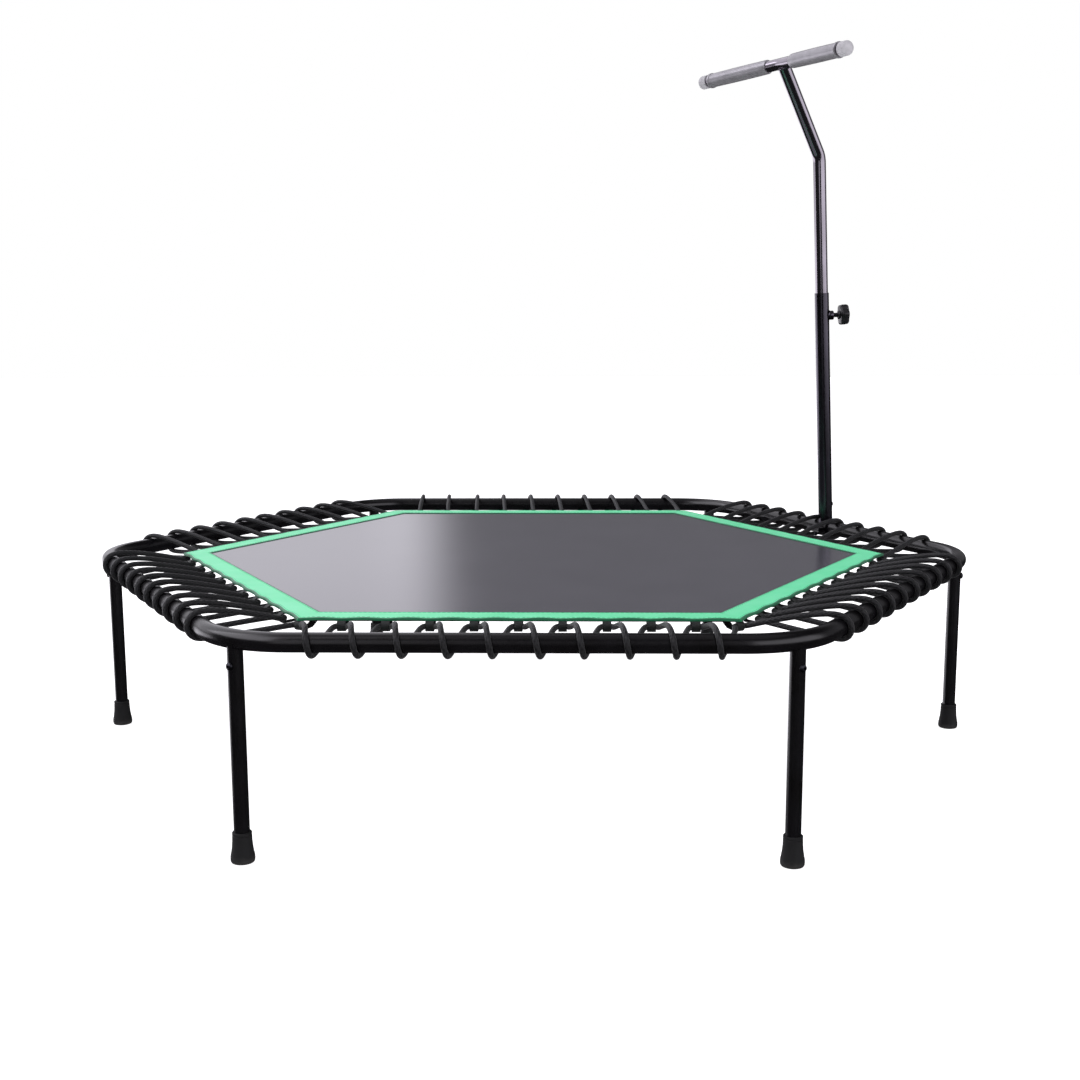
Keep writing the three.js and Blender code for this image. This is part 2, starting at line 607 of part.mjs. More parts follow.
// ---- Locking knob, with its screw along X from the mast's axis ----
const knobGroup = new THREE.Group();
knobGroup.position.z = knobHeight;
knobGroup.rotation.z = rad(KNOB_TURN);
mast.add(knobGroup);

function lockKnob() {
  const bodyStart = knobStart + KNOB_HUB_LENGTH;
  const count = KNOB_LOBES * KNOB_POINTS_PER_LOBE;
  const outline = Array.from({ length: count }, (_, i) => {
    const angle = (2 * Math.PI * i) / count;
    const radius = KNOB_RADIUS + KNOB_LOBE * Math.cos(KNOB_LOBES * angle);
    return new THREE.Vector2(radius * Math.cos(angle), radius * Math.sin(angle));
  });
  const bore = aroundFit(SCREW_RADIUS);
  return fromSolid(solid(prism(new THREE.Shape(outline), bodyStart, bodyStart + KNOB_THICKNESS))
    .add(solid(rod(KNOB_HUB_RADIUS, knobStart, bodyStart + 1)))
    .subtract(solid(rod(bore, knobStart - 1, knobStart + SCREW_IN_KNOB + CLEAR))));
}

const clampPad = rod(facetFit(SCREW_RADIUS), padStart, padStart + PAD_THICKNESS, SMALL_FACETS);
add(knobGroup, 'clamp_pad', alongX(clampPad), paleNylon);
add(knobGroup, 'clamp_screw', alongX(rod(SCREW_RADIUS, screwStart, knobStart + SCREW_IN_KNOB)), blackenedSteel);
add(knobGroup, 'lock_knob', alongX(lockKnob()), blackPlastic);

export default trampoline;
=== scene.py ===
# %% [markdown]
# # A hexagonal rebounder, piece by piece
# The real object is a fitness trampoline: a bent steel tube in the shape of a hexagon, six short legs, a
# tight woven mat laced into the tube with elastic cord, and a leaning mast with a T-bar to hold.
# The frame file gives where everything is and how it moves, so each piece below is made around it.

# %% Load the frame
import json
import random
from math import atan2, cos, floor, hypot, pi, radians, sin, sqrt, tan

import bpy
import numpy as np
from mathutils import Matrix, Vector


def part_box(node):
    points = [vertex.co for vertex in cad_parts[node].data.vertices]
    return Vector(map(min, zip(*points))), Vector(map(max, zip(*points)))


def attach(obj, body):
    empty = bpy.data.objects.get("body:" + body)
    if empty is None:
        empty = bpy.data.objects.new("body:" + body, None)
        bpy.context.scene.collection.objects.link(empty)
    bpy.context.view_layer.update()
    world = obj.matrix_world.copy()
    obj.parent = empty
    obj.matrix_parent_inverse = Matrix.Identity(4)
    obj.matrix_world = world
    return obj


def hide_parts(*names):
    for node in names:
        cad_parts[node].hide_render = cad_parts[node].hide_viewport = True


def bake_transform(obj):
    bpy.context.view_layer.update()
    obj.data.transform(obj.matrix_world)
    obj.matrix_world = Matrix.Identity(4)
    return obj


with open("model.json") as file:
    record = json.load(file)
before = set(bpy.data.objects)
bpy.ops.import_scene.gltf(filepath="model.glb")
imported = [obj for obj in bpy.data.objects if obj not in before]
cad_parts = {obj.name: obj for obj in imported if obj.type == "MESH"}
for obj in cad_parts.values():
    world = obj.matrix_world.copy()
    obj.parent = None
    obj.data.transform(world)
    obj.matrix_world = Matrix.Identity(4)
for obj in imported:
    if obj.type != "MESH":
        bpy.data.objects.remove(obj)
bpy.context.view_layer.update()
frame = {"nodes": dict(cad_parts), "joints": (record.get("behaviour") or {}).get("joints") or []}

# %% [markdown]
# ## Sizes
# Lengths are in metres, as the frame's are, and MM turns millimetres into them. The boxes of a few nodes
# give the sizes that everything else follows. The feet stand on a circle below the rail's bends, and a
# hexagon's corner is 1/cos(30 degrees) times as far out as the middle of its side.

# %% Sizes from the frame
MM = 0.001
SIDES = 6
HALF_CORNER = pi / SIDES


def size_of(node):
    low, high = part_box(node)
    return high - low


foot_low, foot_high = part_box("foot_cap_1")
leg_place = (foot_low.x + foot_high.x) / 2
leg_radius = size_of("leg_tube_1").y / 2
rail_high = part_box("rail_section_1")[1]
rail_radius = rail_high.x - leg_place
rail_height = rail_high.z - rail_radius
rail_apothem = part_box("rail_section_2")[1].y - rail_radius
rail_corner = rail_apothem / cos(HALF_CORNER)
bend_radius = (rail_corner - leg_place) / (1 / cos(HALF_CORNER) - 1)
mat_low, mat_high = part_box("jump_mat")
mat_corner = mat_high.x
mat_apothem = mat_corner * cos(HALF_CORNER)
mat_side = mat_corner
rail_side = rail_corner
print(f"rail {rail_apothem:.4f} out, {rail_height:.4f} up; mat {mat_apothem:.4f} out")

# %% [markdown]
# ## A small kit for meshes
# Most parts here are tubes and turned shapes. One function sweeps a round section along points and
# another turns a profile about an axis, and both close their ends, so each piece is a solid skin.
# Normals are smooth, with an edge kept sharp where two faces meet at more than 35 degrees.

# %% Mesh helpers
SHARP = radians(35)


def link(thing):
    """Puts an object in the scene."""
    bpy.context.scene.collection.objects.link(thing)
    return thing


def make_piece(name, vertices, faces, uvs=None, place=None):
    """A mesh object at the origin. place moves its mesh, and uvs is one pair for each face corner."""
    mesh = bpy.data.meshes.new(name)
    mesh.from_pydata([tuple(v) for v in vertices], [], faces)
    if uvs is not None:
        layer = mesh.uv_layers.new(name="UVMap")
        layer.data.foreach_set("uv", np.array(uvs, float).ravel())
    if place is not None:
        mesh.transform(place)
    mesh.shade_smooth()
    mesh.set_sharp_from_angle(angle=SHARP)
    return link(bpy.data.objects.new(name, mesh))


def skin_rings(rings, cyclic=False):
    """Faces and UVs between rings of points. U runs once around, and V is the length in metres."""
    count, sides = len(rings), len(rings[0])
    middles = [sum((Vector(p) for p in ring), Vector()) / sides for ring in rings]
    lengths = [0.0]
    for a, b in zip(middles, middles[1:]):
        lengths.append(lengths[-1] + (b - a).length)
    faces, uvs = [], []
    for i in range(count if cyclic else count - 1):
        for j in range(sides):
            a, b = i * sides + j, i * sides + (j + 1) % sides
            c, d = ((i + 1) % count) * sides + (j + 1) % sides, ((i + 1) % count) * sides + j
            faces.append((a, b, c, d))
            v0, v1 = lengths[i], lengths[(i + 1) % count]
            uvs += [(j / sides, v0), ((j + 1) / sides, v0), ((j + 1) / sides, v1), (j / sides, v1)]
    return faces, uvs


def skin_piece(name, rings, place=None):
    """A piece whose rings close on themselves, as around a bore or along a bead."""
    faces, uvs = skin_rings(rings, cyclic=True)
    return make_piece(name, [p for ring in rings for p in ring], faces, uvs, place)


def make_line(name, points, closed=False):
    """A mesh of edges through the points, for a node tree to work on."""
    line = make_piece(name, [], [])
    count = len(points)
    edges = [(i, (i + 1) % count) for i in range(count if closed else count - 1)]
    line.data.from_pydata([tuple(p) for p in points], edges, [])
    return line


def path_frames(points):
    """A direction and two crossing directions at each point, carried along without twist."""
    points = [Vector(p) for p in points]
    directions = []
    for i in range(len(points)):
        before = (points[i] - points[i - 1]).normalized() if i else Vector()
        after = (points[i + 1] - points[i]).normalized() if i < len(points) - 1 else Vector()
        directions.append((before + after).normalized())
    across = directions[0].orthogonal().normalized()
    frames = []
    for direction in directions:
        across = (across - direction * across.dot(direction)).normalized()
        frames.append((direction, across, direction.cross(across)))
    return points, frames


def swept_tube(name, points, radius, sides=32, bore=0.0, cope=(None, None), place=None):
    """A round bar or tube. A cope maps an end's offset from the centre line to a shift along it."""
    points, frames = path_frames(points)

    def ring(i, r):
        direction, across, third = frames[i]
        made = []
        for j in range(sides):
            turn = 2 * pi * j / sides
            offset = across * (r * cos(turn)) + third * (r * sin(turn))
            end = 0 if i == 0 else 1 if i == len(points) - 1 else None
            shift = cope[end](offset) if end is not None and cope[end] else 0.0
            made.append(points[i] + offset + direction * shift)
        return made

    rings = [ring(i, radius) for i in range(len(points))]
    if bore:
        return skin_piece(name, rings + [ring(i, bore) for i in reversed(range(len(points)))], place)
    faces, uvs = skin_rings(rings)
    last = (len(rings) - 1) * sides
    faces += [tuple(reversed(range(sides))), tuple(range(last, last + sides))]
    uvs += [(0.5, 0.0)] * (2 * sides)
    return make_piece(name, [p for r in rings for p in r], faces, uvs, place)


def turned_body(name, profile, sides=40, place=None, lobe=None):
    """A body turned about Z from (radius, height) pairs: from axis to axis, or closed round a bore if the
    outline starts off the axis. lobe(angle, radius) may swell the radius, as on a hand knob."""
    off_axis = [(r, z) for r, z in profile if r > 0]
    vertices = []
    for r, z in off_axis:
        for j in range(sides):
            turn = 2 * pi * j / sides
            wide = r + (lobe(turn, r) if lobe else 0.0)
            vertices.append((wide * cos(turn), wide * sin(turn), z))
    closed = profile[0][0] > 0
    rings = [vertices[i * sides:(i + 1) * sides] for i in range(len(off_axis))]
    faces, uvs = skin_rings(rings, cyclic=closed)
    if not closed:
        for end, first in ((profile[0], 0), (profile[-1], (len(off_axis) - 1) * sides)):
            pole = len(vertices)
            vertices.append((0, 0, end[1]))
            for j in range(sides):
                a, b = first + j, first + (j + 1) % sides
                faces.append((pole, b, a) if first == 0 else (pole, a, b))
                uvs += [(0.5, 0.0)] * 3
    return make_piece(name, vertices, faces, uvs, place)


def join_pieces(name, pieces):
    """One object from several."""
    with bpy.context.temp_override(active_object=pieces[0], selected_editable_objects=pieces):
        bpy.ops.object.join()
    pieces[0].name = name
    return pieces[0]


def in_mm(outline):
    """An outline given in millimetres, in metres."""
    return [(x * MM, y * MM) for x, y in outline]


def rounded(low, high, radius, edge, steps=4):
    """A profile of a plain turned body with rounded rims, from axis to axis."""
    arc = [pi / 2 * i / steps for i in range(steps + 1)]
    lower = [(radius - edge + edge * sin(a), low + edge - edge * cos(a)) for a in arc]
    upper = [(radius - edge + edge * cos(a), high - edge + edge * sin(a)) for a in arc]
    return [(0, low), *lower, *upper, (0, high)]


# %% [markdown]
# ## A small kit for materials
# Colours are given as sRGB hex values, as a paint card would, and turned linear for the shader.
# One function adds any node, with its settings and links. Every pattern works in metres from the
# object's own coordinates, or along a cord or band from its UV map.

# %% Material helpers
def linear(colour):
    """A hex sRGB colour as linear RGBA."""
    parts = [int(colour[i:i + 2], 16) / 255 for i in (1, 3, 5)]
    return tuple(c / 12.92 if c <= 0.04045 else ((c + 0.055) / 1.055) ** 2.4 for c in parts) + (1.0,)


def add_node(tree, kind, inputs=None, **settings):
    """A node with its properties set. inputs gives each socket a value, or the output it takes, or a
    node for its first output."""
    made = tree.nodes.new(kind)
    for key, value in settings.items():
        setattr(made, key, value)
    for key, value in (inputs or {}).items():
        value = value.outputs[0] if isinstance(value, bpy.types.Node) else value
        if isinstance(value, bpy.types.NodeSocket):
            tree.links.new(value, made.inputs[key])
        else:
            made.inputs[key].default_value = value
    return made


def start_material(name, roughness, colour="#808080", **sockets):
    """A Principled material. Extra sockets are named with underscores, as Coat_Weight=0.2."""
    material = bpy.data.materials.new(name)
    material.use_nodes = True
    tree = material.node_tree
    shader = tree.nodes["Principled BSDF"]
    shader.inputs["Base Color"].default_value = linear(colour)
    shader.inputs["Roughness"].default_value = roughness
    for key, value in sockets.items():
        shader.inputs[key.replace("_", " ")].default_value = value
    return material, tree, shader


def math_node(tree, operation, first, second=0.0):
    return add_node(tree, "ShaderNodeMath", {0: first, 1: second}, operation=operation).outputs[0]


def noise(tree, coordinates, size, detail=2.0):
    """Soft noise whose blotches are about size metres across."""
    return add_node(tree, "ShaderNodeTexNoise", {
        "Vector": coordinates, "Scale": 1 / size, "Detail": detail}).outputs["Fac"]


def ramp(tree, value, *stops):
    """Colours or greys along a value: each stop is a place and a hex colour."""
    made = add_node(tree, "ShaderNodeValToRGB", {"Fac": value})
    elements = made.color_ramp.elements
    for element, (place, colour) in zip(elements, stops):
        element.position, element.color = place, linear(colour)
    for place, colour in stops[2:]:
        elements.new(place).color = linear(colour)
    return made.outputs["Color"]


def spread(tree, value, low, high):
    """A value from 0 to 1 spread between two others."""
    return add_node(tree, "ShaderNodeMapRange", {"Value": value, "To Min": low, "To Max": high}).outputs[0]


def colour_by(tree, shader, value, *stops):
    """The surface's colour follows a value along a ramp."""
    tree.links.new(ramp(tree, value, *stops), shader.inputs["Base Color"])


def roughness_by(tree, shader, value, low, high):
    """The surface's roughness follows a value between two others."""
    tree.links.new(spread(tree, value, low, high), shader.inputs["Roughness"])


def bump(tree, shader, height, distance, strength=1.0):
    """Fine relief: distance is its height in metres."""
    made = add_node(tree, "ShaderNodeBump", {"Height": height, "Distance": distance, "Strength": strength})
    tree.links.new(made.outputs["Normal"], shader.inputs["Normal"])


def object_coordinates(tree):
    return add_node(tree, "ShaderNodeTexCoord").outputs["Object"]


def uv_coordinates(tree):
    return add_node(tree, "ShaderNodeUVMap", uv_map="UVMap").outputs["UV"]


def split(tree, vector):
    return add_node(tree, "ShaderNodeSeparateXYZ", {"Vector": vector}).outputs


# %% [markdown]
# ## The finishes
# Each is named for what the real one is. The rail and the legs are powder coated: paint melted on as
# dust, which leaves a faint orange peel a millimetre or two across. The lower mast is black chrome, and
# the sliding tube and the cross bar are smoked chrome. Both are plated, so they are smoother.

# %% Coated and plated tube
def tube_finish(name, colours, roughness, peel, **sockets):
    """Two near colours that drift into each other, slightly uneven gloss and a low orange peel."""
    material, tree, shader = start_material(name, roughness, colours[0], **sockets)
    place = object_coordinates(tree)
    colour_by(tree, shader, noise(tree, place, 60 * MM), (0.35, colours[0]), (0.7, colours[1]))
    roughness_by(tree, shader, noise(tree, place, 9 * MM, 4.0), roughness - 0.05, roughness + 0.06)
    bump(tree, shader, noise(tree, place, 1.6 * MM), peel)
    return material


rail_paint = tube_finish("powder_coated_steel", ("#060506", "#0b0a0d"), 0.24, 0.05 * MM,
                         Specular_IOR_Level=0.5)
smoked_chrome = tube_finish("smoked_chrome_steel", ("#8d888f", "#97929a"), 0.14, 0.008 * MM, Metallic=1.0)
black_chrome = tube_finish("black_chrome_steel", ("#49474d", "#545159"), 0.2, 0.01 * MM, Metallic=1.0)


# %% [markdown]
# Bolts and the knob's screw are blackened steel, dark and a little mottled. The feet are moulded rubber,
# matt, with fine grain and a little dust near the floor. Plastic caps, plug and knob are moulded too,
# with the light spark-eroded grain of their moulds.

# %% Blackened steel, rubber and plastics
DUST_HEIGHT = 14 * MM


def blackened():
    material, tree, shader = start_material("blackened_steel", 0.34, "#3a3a3e", Metallic=1.0)
    mottled = noise(tree, object_coordinates(tree), 4 * MM, 3.0)
    roughness_by(tree, shader, mottled, 0.26, 0.46)
    colour_by(tree, shader, mottled, (0.3, "#2e2e32"), (0.75, "#4a4a50"))
    return material


def moulded(name, colours, roughness, grain=0.5 * MM, depth=0.03 * MM):
    """A moulded plastic, or any plain soft finish: two near colours and a fine grain."""
    material, tree, shader = start_material(name, roughness, colours[0], Specular_IOR_Level=0.45)
    place = object_coordinates(tree)
    colour_by(tree, shader, noise(tree, place, 12 * MM, 3.0), (0.3, colours[0]), (0.75, colours[1]))
    bump(tree, shader, noise(tree, place, grain, 2.0), depth, 0.5)
    return material


def foot_rubber():
    material, tree, shader = start_material("moulded_rubber", 0.72, "#151515", Specular_IOR_Level=0.35)
    place = object_coordinates(tree)
    near_floor = add_node(tree, "ShaderNodeMapRange", {
        "Value": split(tree, place)["Z"], "From Min": 0.0, "From Max": DUST_HEIGHT,
        "To Min": 0.75, "To Max": 0.0})
    dust = math_node(tree, "MULTIPLY", near_floor, noise(tree, place, 7 * MM, 5.0))
    colour_by(tree, shader, dust, (0.1, "#121213"), (0.6, "#3b3a38"))
    bump(tree, shader, noise(tree, place, 0.9 * MM, 3.0), 0.06 * MM)
    return material


dark_steel = blackened()
rubber = foot_rubber()
black_plastic = moulded("moulded_nylon", ("#0d0d0f", "#17171a"), 0.42)
grey_plastic = moulded("moulded_polypropylene", ("#a5a3a8", "#b5b3b8"), 0.45)
pale_nylon = moulded("natural_nylon", ("#d5d2c6", "#e2dfd5"), 0.5)


# %% [markdown]
# The mat is woven from flat polypropylene tapes, over and under, which gives a satin sheen and a fine
# grid. The real tapes are about 1.2 mm wide, too fine to show from two metres, so they are drawn 3 mm
# wide. The border is a mint-green coated fabric band, with painted shade in dark green along both edges.

# %% Woven mat and mint band
TAPE_WIDTH = 3 * MM
BAND_YARN = 2.4 * MM
WEAVE_SHARE = 0.08
CLOUD_SHARE = 0.6


def weave(tree, x, y, width):
    """Height and shade of a plain weave: squares in turn show a tape running each way."""
    across = [math_node(tree, "DIVIDE", value, width) for value in (x, y)]
    crowns = []
    for value in across:
        half_turn = math_node(tree, "MULTIPLY", math_node(tree, "FRACT", value), pi)
        crowns.append(math_node(tree, "SINE", half_turn))
    cells = math_node(tree, "ADD", *[math_node(tree, "FLOOR", value) for value in across])
    odd = math_node(tree, "PINGPONG", cells, 1.0)
    return add_node(tree, "ShaderNodeMix", {"Factor": odd, 2: crowns[0], 3: crowns[1]}).outputs[0]


def woven_tape():
    material, tree, shader = start_material("woven_polypropylene", 0.19, "#5c5b61",
                                            Specular_IOR_Level=0.6, Specular_Tint=(0.93, 0.91, 1.0, 1.0))
    place = object_coordinates(tree)
    x, y, _ = split(tree, place)
    cloud = noise(tree, place, 90 * MM, 3.0)
    tone = math_node(tree, "ADD", math_node(tree, "MULTIPLY", weave(tree, x, y, TAPE_WIDTH), WEAVE_SHARE),
                     math_node(tree, "MULTIPLY", cloud, CLOUD_SHARE))
    colour_by(tree, shader, tone, (0.2, "#4f4e55"), (0.8, "#5b5a61"))
    roughness_by(tree, shader, cloud, 0.18, 0.2)
    return material


def mint_fabric():
    material, tree, shader = start_material("coated_fabric_band", 0.42, "#6bf0b0", Sheen_Weight=0.1)
    place = object_coordinates(tree)
    x, y, _ = split(tree, place)
    across = split(tree, uv_coordinates(tree))["X"]
    from_middle = math_node(tree, "ABSOLUTE", math_node(tree, "SUBTRACT", across, 0.5))
    body = ramp(tree, noise(tree, place, 45 * MM, 3.0), (0.3, "#66f2b0"), (0.75, "#7efac0"))
    # Painted shade: a dark green line along both edges, where the band rolls down over the mat's edge and
    # where it meets the mat.
    painted_edge_shade = ramp(tree, math_node(tree, "MULTIPLY", from_middle, 2.0), (0.86, "#000000"), (0.88, "#ffffff"))
    mixed = add_node(tree, "ShaderNodeMix", {
        "Factor": painted_edge_shade, 6: body, 7: linear("#0f6a45")}, data_type="RGBA")
    tree.links.new(mixed.outputs[2], shader.inputs["Base Color"])
    bump(tree, shader, weave(tree, x, y, BAND_YARN), 0.12 * MM, 0.7)
    return material


mat_cloth = woven_tape()
mint = mint_fabric()

# %% [markdown]
# The cord is rubber strands in a braided polyester cover. Its braid is two sets of yarns that cross on
# a slant, so it is drawn from the cord's own UV map: U once around and V along its length.
# The webbing straps have fine ribs. The grips are grey vinyl with a pebbled grain, and the seams' thread
# is plain.

# %% Braided cord, webbing, vinyl and thread
BRAID_YARNS = 6
BRAID_PITCH = 16 * MM
RIB_WIDTH = 1.8 * MM
PEBBLE = 1.3 * MM


def braided_cover():
    material, tree, shader = start_material("braided_polyester", 0.55, "#121214", Sheen_Weight=0.06,
                                            Specular_IOR_Level=0.4)
    around, along, _ = split(tree, uv_coordinates(tree))
    turns = math_node(tree, "MULTIPLY", around, float(BRAID_YARNS))
    lays = math_node(tree, "DIVIDE", along, BRAID_PITCH / 2)
    yarns = []
    for operation in ("ADD", "SUBTRACT"):
        phase = math_node(tree, "MULTIPLY", math_node(tree, operation, turns, lays), 2 * pi)
        yarns.append(math_node(tree, "SINE", phase))
    height = math_node(tree, "MAXIMUM", *yarns)
    colour_by(tree, shader, spread(tree, height, 0.2, 0.8), (0.25, "#060607"), (0.8, "#151518"))
    bump(tree, shader, height, 0.35 * MM, 0.8)
    return material


def ribbed_webbing():
    material, tree, shader = start_material("woven_nylon_webbing", 0.6, "#0b0e0d", Sheen_Weight=0.05)
    x, y, z = split(tree, object_coordinates(tree))
    ribs = weave(tree, math_node(tree, "ADD", x, z), y, RIB_WIDTH)
    colour_by(tree, shader, ribs, (0.2, "#060908"), (0.9, "#101614"))
    bump(tree, shader, ribs, 0.2 * MM, 0.8)
    return material


def vinyl_sleeve():
    material, tree, shader = start_material("grey_vinyl_sleeve", 0.36, "#94929a", Metallic=0.5)
    place = object_coordinates(tree)
    cells = add_node(tree, "ShaderNodeTexVoronoi", {"Vector": place, "Scale": 1 / PEBBLE})
    colour_by(tree, shader, noise(tree, place, 15 * MM, 3.0), (0.3, "#8c8a8f"), (0.75, "#9b999e"))
    bump(tree, shader, cells.outputs["Distance"], 0.02 * MM, 0.4)
    return material


cord_cover = braided_cover()
webbing = ribbed_webbing()
grip_vinyl = vinyl_sleeve()
mint_thread = moulded("polyester_thread", ("#48cf90", "#63e0a4"), 0.6)

# %% [markdown]
# ## Copies by Geometry Nodes
# The legs, bolts and feet are the same piece six times, sixty degrees apart. One node tree places
# copies of a piece at the middle, each turned by its own share of a whole turn.
# The result is realized and kept as a plain mesh, and the modifier goes.

# %% A ring of copies
def new_tree(name, *inputs):
    """A tree with (name, kind, default) inputs. Also gives a modifier's keys and the inputs' sockets."""
    tree = bpy.data.node_groups.new(name, "GeometryNodeTree")
    keys = {}
    for label, kind, value in inputs:
        socket = tree.interface.new_socket(name=label, in_out="INPUT", socket_type="NodeSocket" + kind)
        keys[label] = socket.identifier
        if value is not None:
            socket.default_value = value
    return tree, keys, add_node(tree, "NodeGroupInput").outputs


def finish_tree(tree, geometry, finish):
    """Realize, set the finish and send the geometry out."""
    tree.interface.new_socket(name="Geometry", in_out="OUTPUT", socket_type="NodeSocketGeometry")
    real = add_node(tree, "GeometryNodeRealizeInstances", {"Geometry": geometry})
    painted = add_node(tree, "GeometryNodeSetMaterial", {"Geometry": real, "Material": finish})
    add_node(tree, "NodeGroupOutput", {"Geometry": painted})


def ring_tree():
    tree, keys, given = new_tree("ring of copies", ("Piece", "Object", None), ("Count", "Int", SIDES),
                                 ("Finish", "Material", None))
    info = add_node(tree, "GeometryNodeObjectInfo", {"Object": given["Piece"]})
    points = add_node(tree, "GeometryNodePoints", {"Count": given["Count"]})
    index = add_node(tree, "GeometryNodeInputIndex")
    share = math_node(tree, "DIVIDE", 2 * pi, given["Count"])
    turn = add_node(tree, "ShaderNodeCombineXYZ", {"Z": math_node(tree, "MULTIPLY", index, share)})
    copies = add_node(tree, "GeometryNodeInstanceOnPoints", {
        "Points": points, "Instance": info.outputs["Geometry"], "Rotation": turn})
    finish_tree(tree, copies, given["Finish"])
    return tree, keys


RING, RING_KEYS = ring_tree()


def apply_tree(name, tree, settings, base=None):
    """Runs a tree on an object, or on nothing, and returns its result as a plain mesh object."""
    base = base or make_piece(name + "_base", [], [])
    modifier = base.modifiers.new("tree", "NODES")
    modifier.node_group = tree
    for key, value in settings.items():
        modifier[key] = value
    ready = base.evaluated_get(bpy.context.evaluated_depsgraph_get())
    mesh = bpy.data.meshes.new_from_object(ready)
    mesh.name = name
    piece = link(bpy.data.objects.new(name, mesh))
    bpy.data.objects.remove(base)
    print(name, len(mesh.polygons), "faces")
    return piece


def ring_of(name, source, finish):
    """Six copies of a piece, and the piece itself goes."""
    settings = {RING_KEYS["Piece"]: source, RING_KEYS["Finish"]: finish}
    made = apply_tree(name, RING, settings)
    bpy.data.objects.remove(source)
    return made


def paint(piece, material):
    """Gives a piece one material."""
    piece.data.materials.clear()
    piece.data.materials.append(material)
    return piece


def keep(piece, body, slot, *nodes):
    """Says what a finished piece rides on and which nodes it stands for. Its slot is not used."""
    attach(piece, body)
    if nodes:
        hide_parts(*nodes)
    return piece


def numbered(stem):
    return [f"{stem}_{i + 1}" for i in range(SIDES)]


# %% [markdown]
# ## The rail
# Six identical lengths of tube make the hexagon. Each turns one corner, and its end fits over the next
# one's spigot, which leaves a fine seam on each side, near a bend. A polyline with one sharp corner,
# filleted and given a round profile, is just how such a tube is bent, so Geometry Nodes make it.

# %% Rail sections
SEAM_GAP = 0.4 * MM


def bent_tube_tree():
    tree, keys, given = new_tree(
        "bent tube", ("Geometry", "Geometry", None), ("Tube Radius", "Float", rail_radius),
        ("Bend Radius", "Float", bend_radius), ("Bend Steps", "Int", 28), ("Finish", "Material", None))
    line = add_node(tree, "GeometryNodeMeshToCurve", {"Mesh": given["Geometry"]})
    bend = add_node(tree, "GeometryNodeFilletCurve", {
        "Curve": line, "Count": given["Bend Steps"],
        "Radius": given["Bend Radius"]}, mode="POLY")
    profile = add_node(tree, "GeometryNodeCurvePrimitiveCircle", {
        "Resolution": 40, "Radius": given["Tube Radius"]})
    skin = add_node(tree, "GeometryNodeCurveToMesh", {
        "Curve": bend, "Profile Curve": profile, "Fill Caps": True})
    smooth = add_node(tree, "GeometryNodeSetShadeSmooth", {"Geometry": skin})
    finish_tree(tree, smooth, given["Finish"])
    return tree, keys


def rail_piece():
    side_in = Vector((sin(HALF_CORNER), cos(HALF_CORNER), 0))
    side_out = Vector((-side_in.x, side_in.y, 0))
    corner = Vector((rail_corner, 0, rail_height))
    low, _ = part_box("rail_section_1")
    seam = (-low.y - rail_radius * side_in.x) / side_in.y
    points = [corner - side_in * seam, corner, corner + side_out * (rail_side - seam - SEAM_GAP)]
    tree, keys = bent_tube_tree()
    settings = {
        keys["Tube Radius"]: rail_radius, keys["Bend Radius"]: bend_radius, keys["Finish"]: rail_paint}
    return apply_tree("rail_section", tree, settings, make_line("rail_line", points))


rail = ring_of("rail_sections", rail_piece(), rail_paint)
rail.data.set_sharp_from_angle(angle=SHARP)
keep(rail, "frame", "rail_powder_coat", *numbered("rail_section"))

# %% [markdown]
# ## Legs, bolts and feet
# Each leg is a plain tube whose top is cut to a fish mouth, so that it hugs the round rail. A dome-headed
# bolt holds it on its stub, and a rubber foot is pushed over its end. Each is made once, below the corner
# on the X axis, and copied round.

# %% Legs
FOOT_FLOOR = 8 * MM
BOLT_DROP = 20 * MM
BOLT_LENGTH = 16 * MM
SOCKET_DEPTH = 2 * MM
CLEARANCE = 0.1 * MM


def rail_underside(offset):
    """How far the leg's wall stops short of the rail's middle height, over the bend."""
    across = hypot(bend_radius + offset.x, offset.y) - bend_radius
    reach = rail_radius + 0.2 * MM
    return -sqrt(max(reach ** 2 - across ** 2, 0.0))


def leg_piece():
    low = Vector((leg_place, 0, FOOT_FLOOR))
    high = Vector((leg_place, 0, rail_height))
    return swept_tube("leg", [low, high], leg_radius, sides=40, cope=(None, rail_underside))


def bolt_piece(name, seat):
    """A dome-headed bolt along Z with a round socket. seat is the height its head sits at."""
    head, shank, crown, edge, rim = 5 * MM, 2.9 * MM, 3.5 * MM, 1 * MM, 1.9 * MM
    dome = [(head * cos(a), seat + edge + (crown - edge) * sin(a))
            for a in (i * pi / 16 for i in range(6))]
    bottom = seat + crown - SOCKET_DEPTH
    profile = [(0, seat - BOLT_LENGTH), (shank, seat - BOLT_LENGTH), (shank, seat), (head, seat), *dome,
               (rim + 0.3 * MM, seat + crown * 0.97), (rim, seat + crown * 0.9), (rim, bottom), (0, bottom)]
    return turned_body(name, profile, sides=24)


legs = ring_of("leg_tubes", leg_piece(), rail_paint)
keep(legs, "frame", "rail_powder_coat", *numbered("leg_tube"))
to_side = Matrix.Translation((leg_place, 0, rail_height - rail_radius - BOLT_DROP)) @ Matrix.Rotation(
    pi / 2, 4, "Y")
bolt = bolt_piece("bolt", leg_radius + CLEARANCE)
bolt.data.transform(to_side)
keep(ring_of("leg_bolts", bolt, dark_steel), "frame", "blackened_steel", *numbered("leg_bolt"))


# %% Feet
FOOT_WALL = 1.8


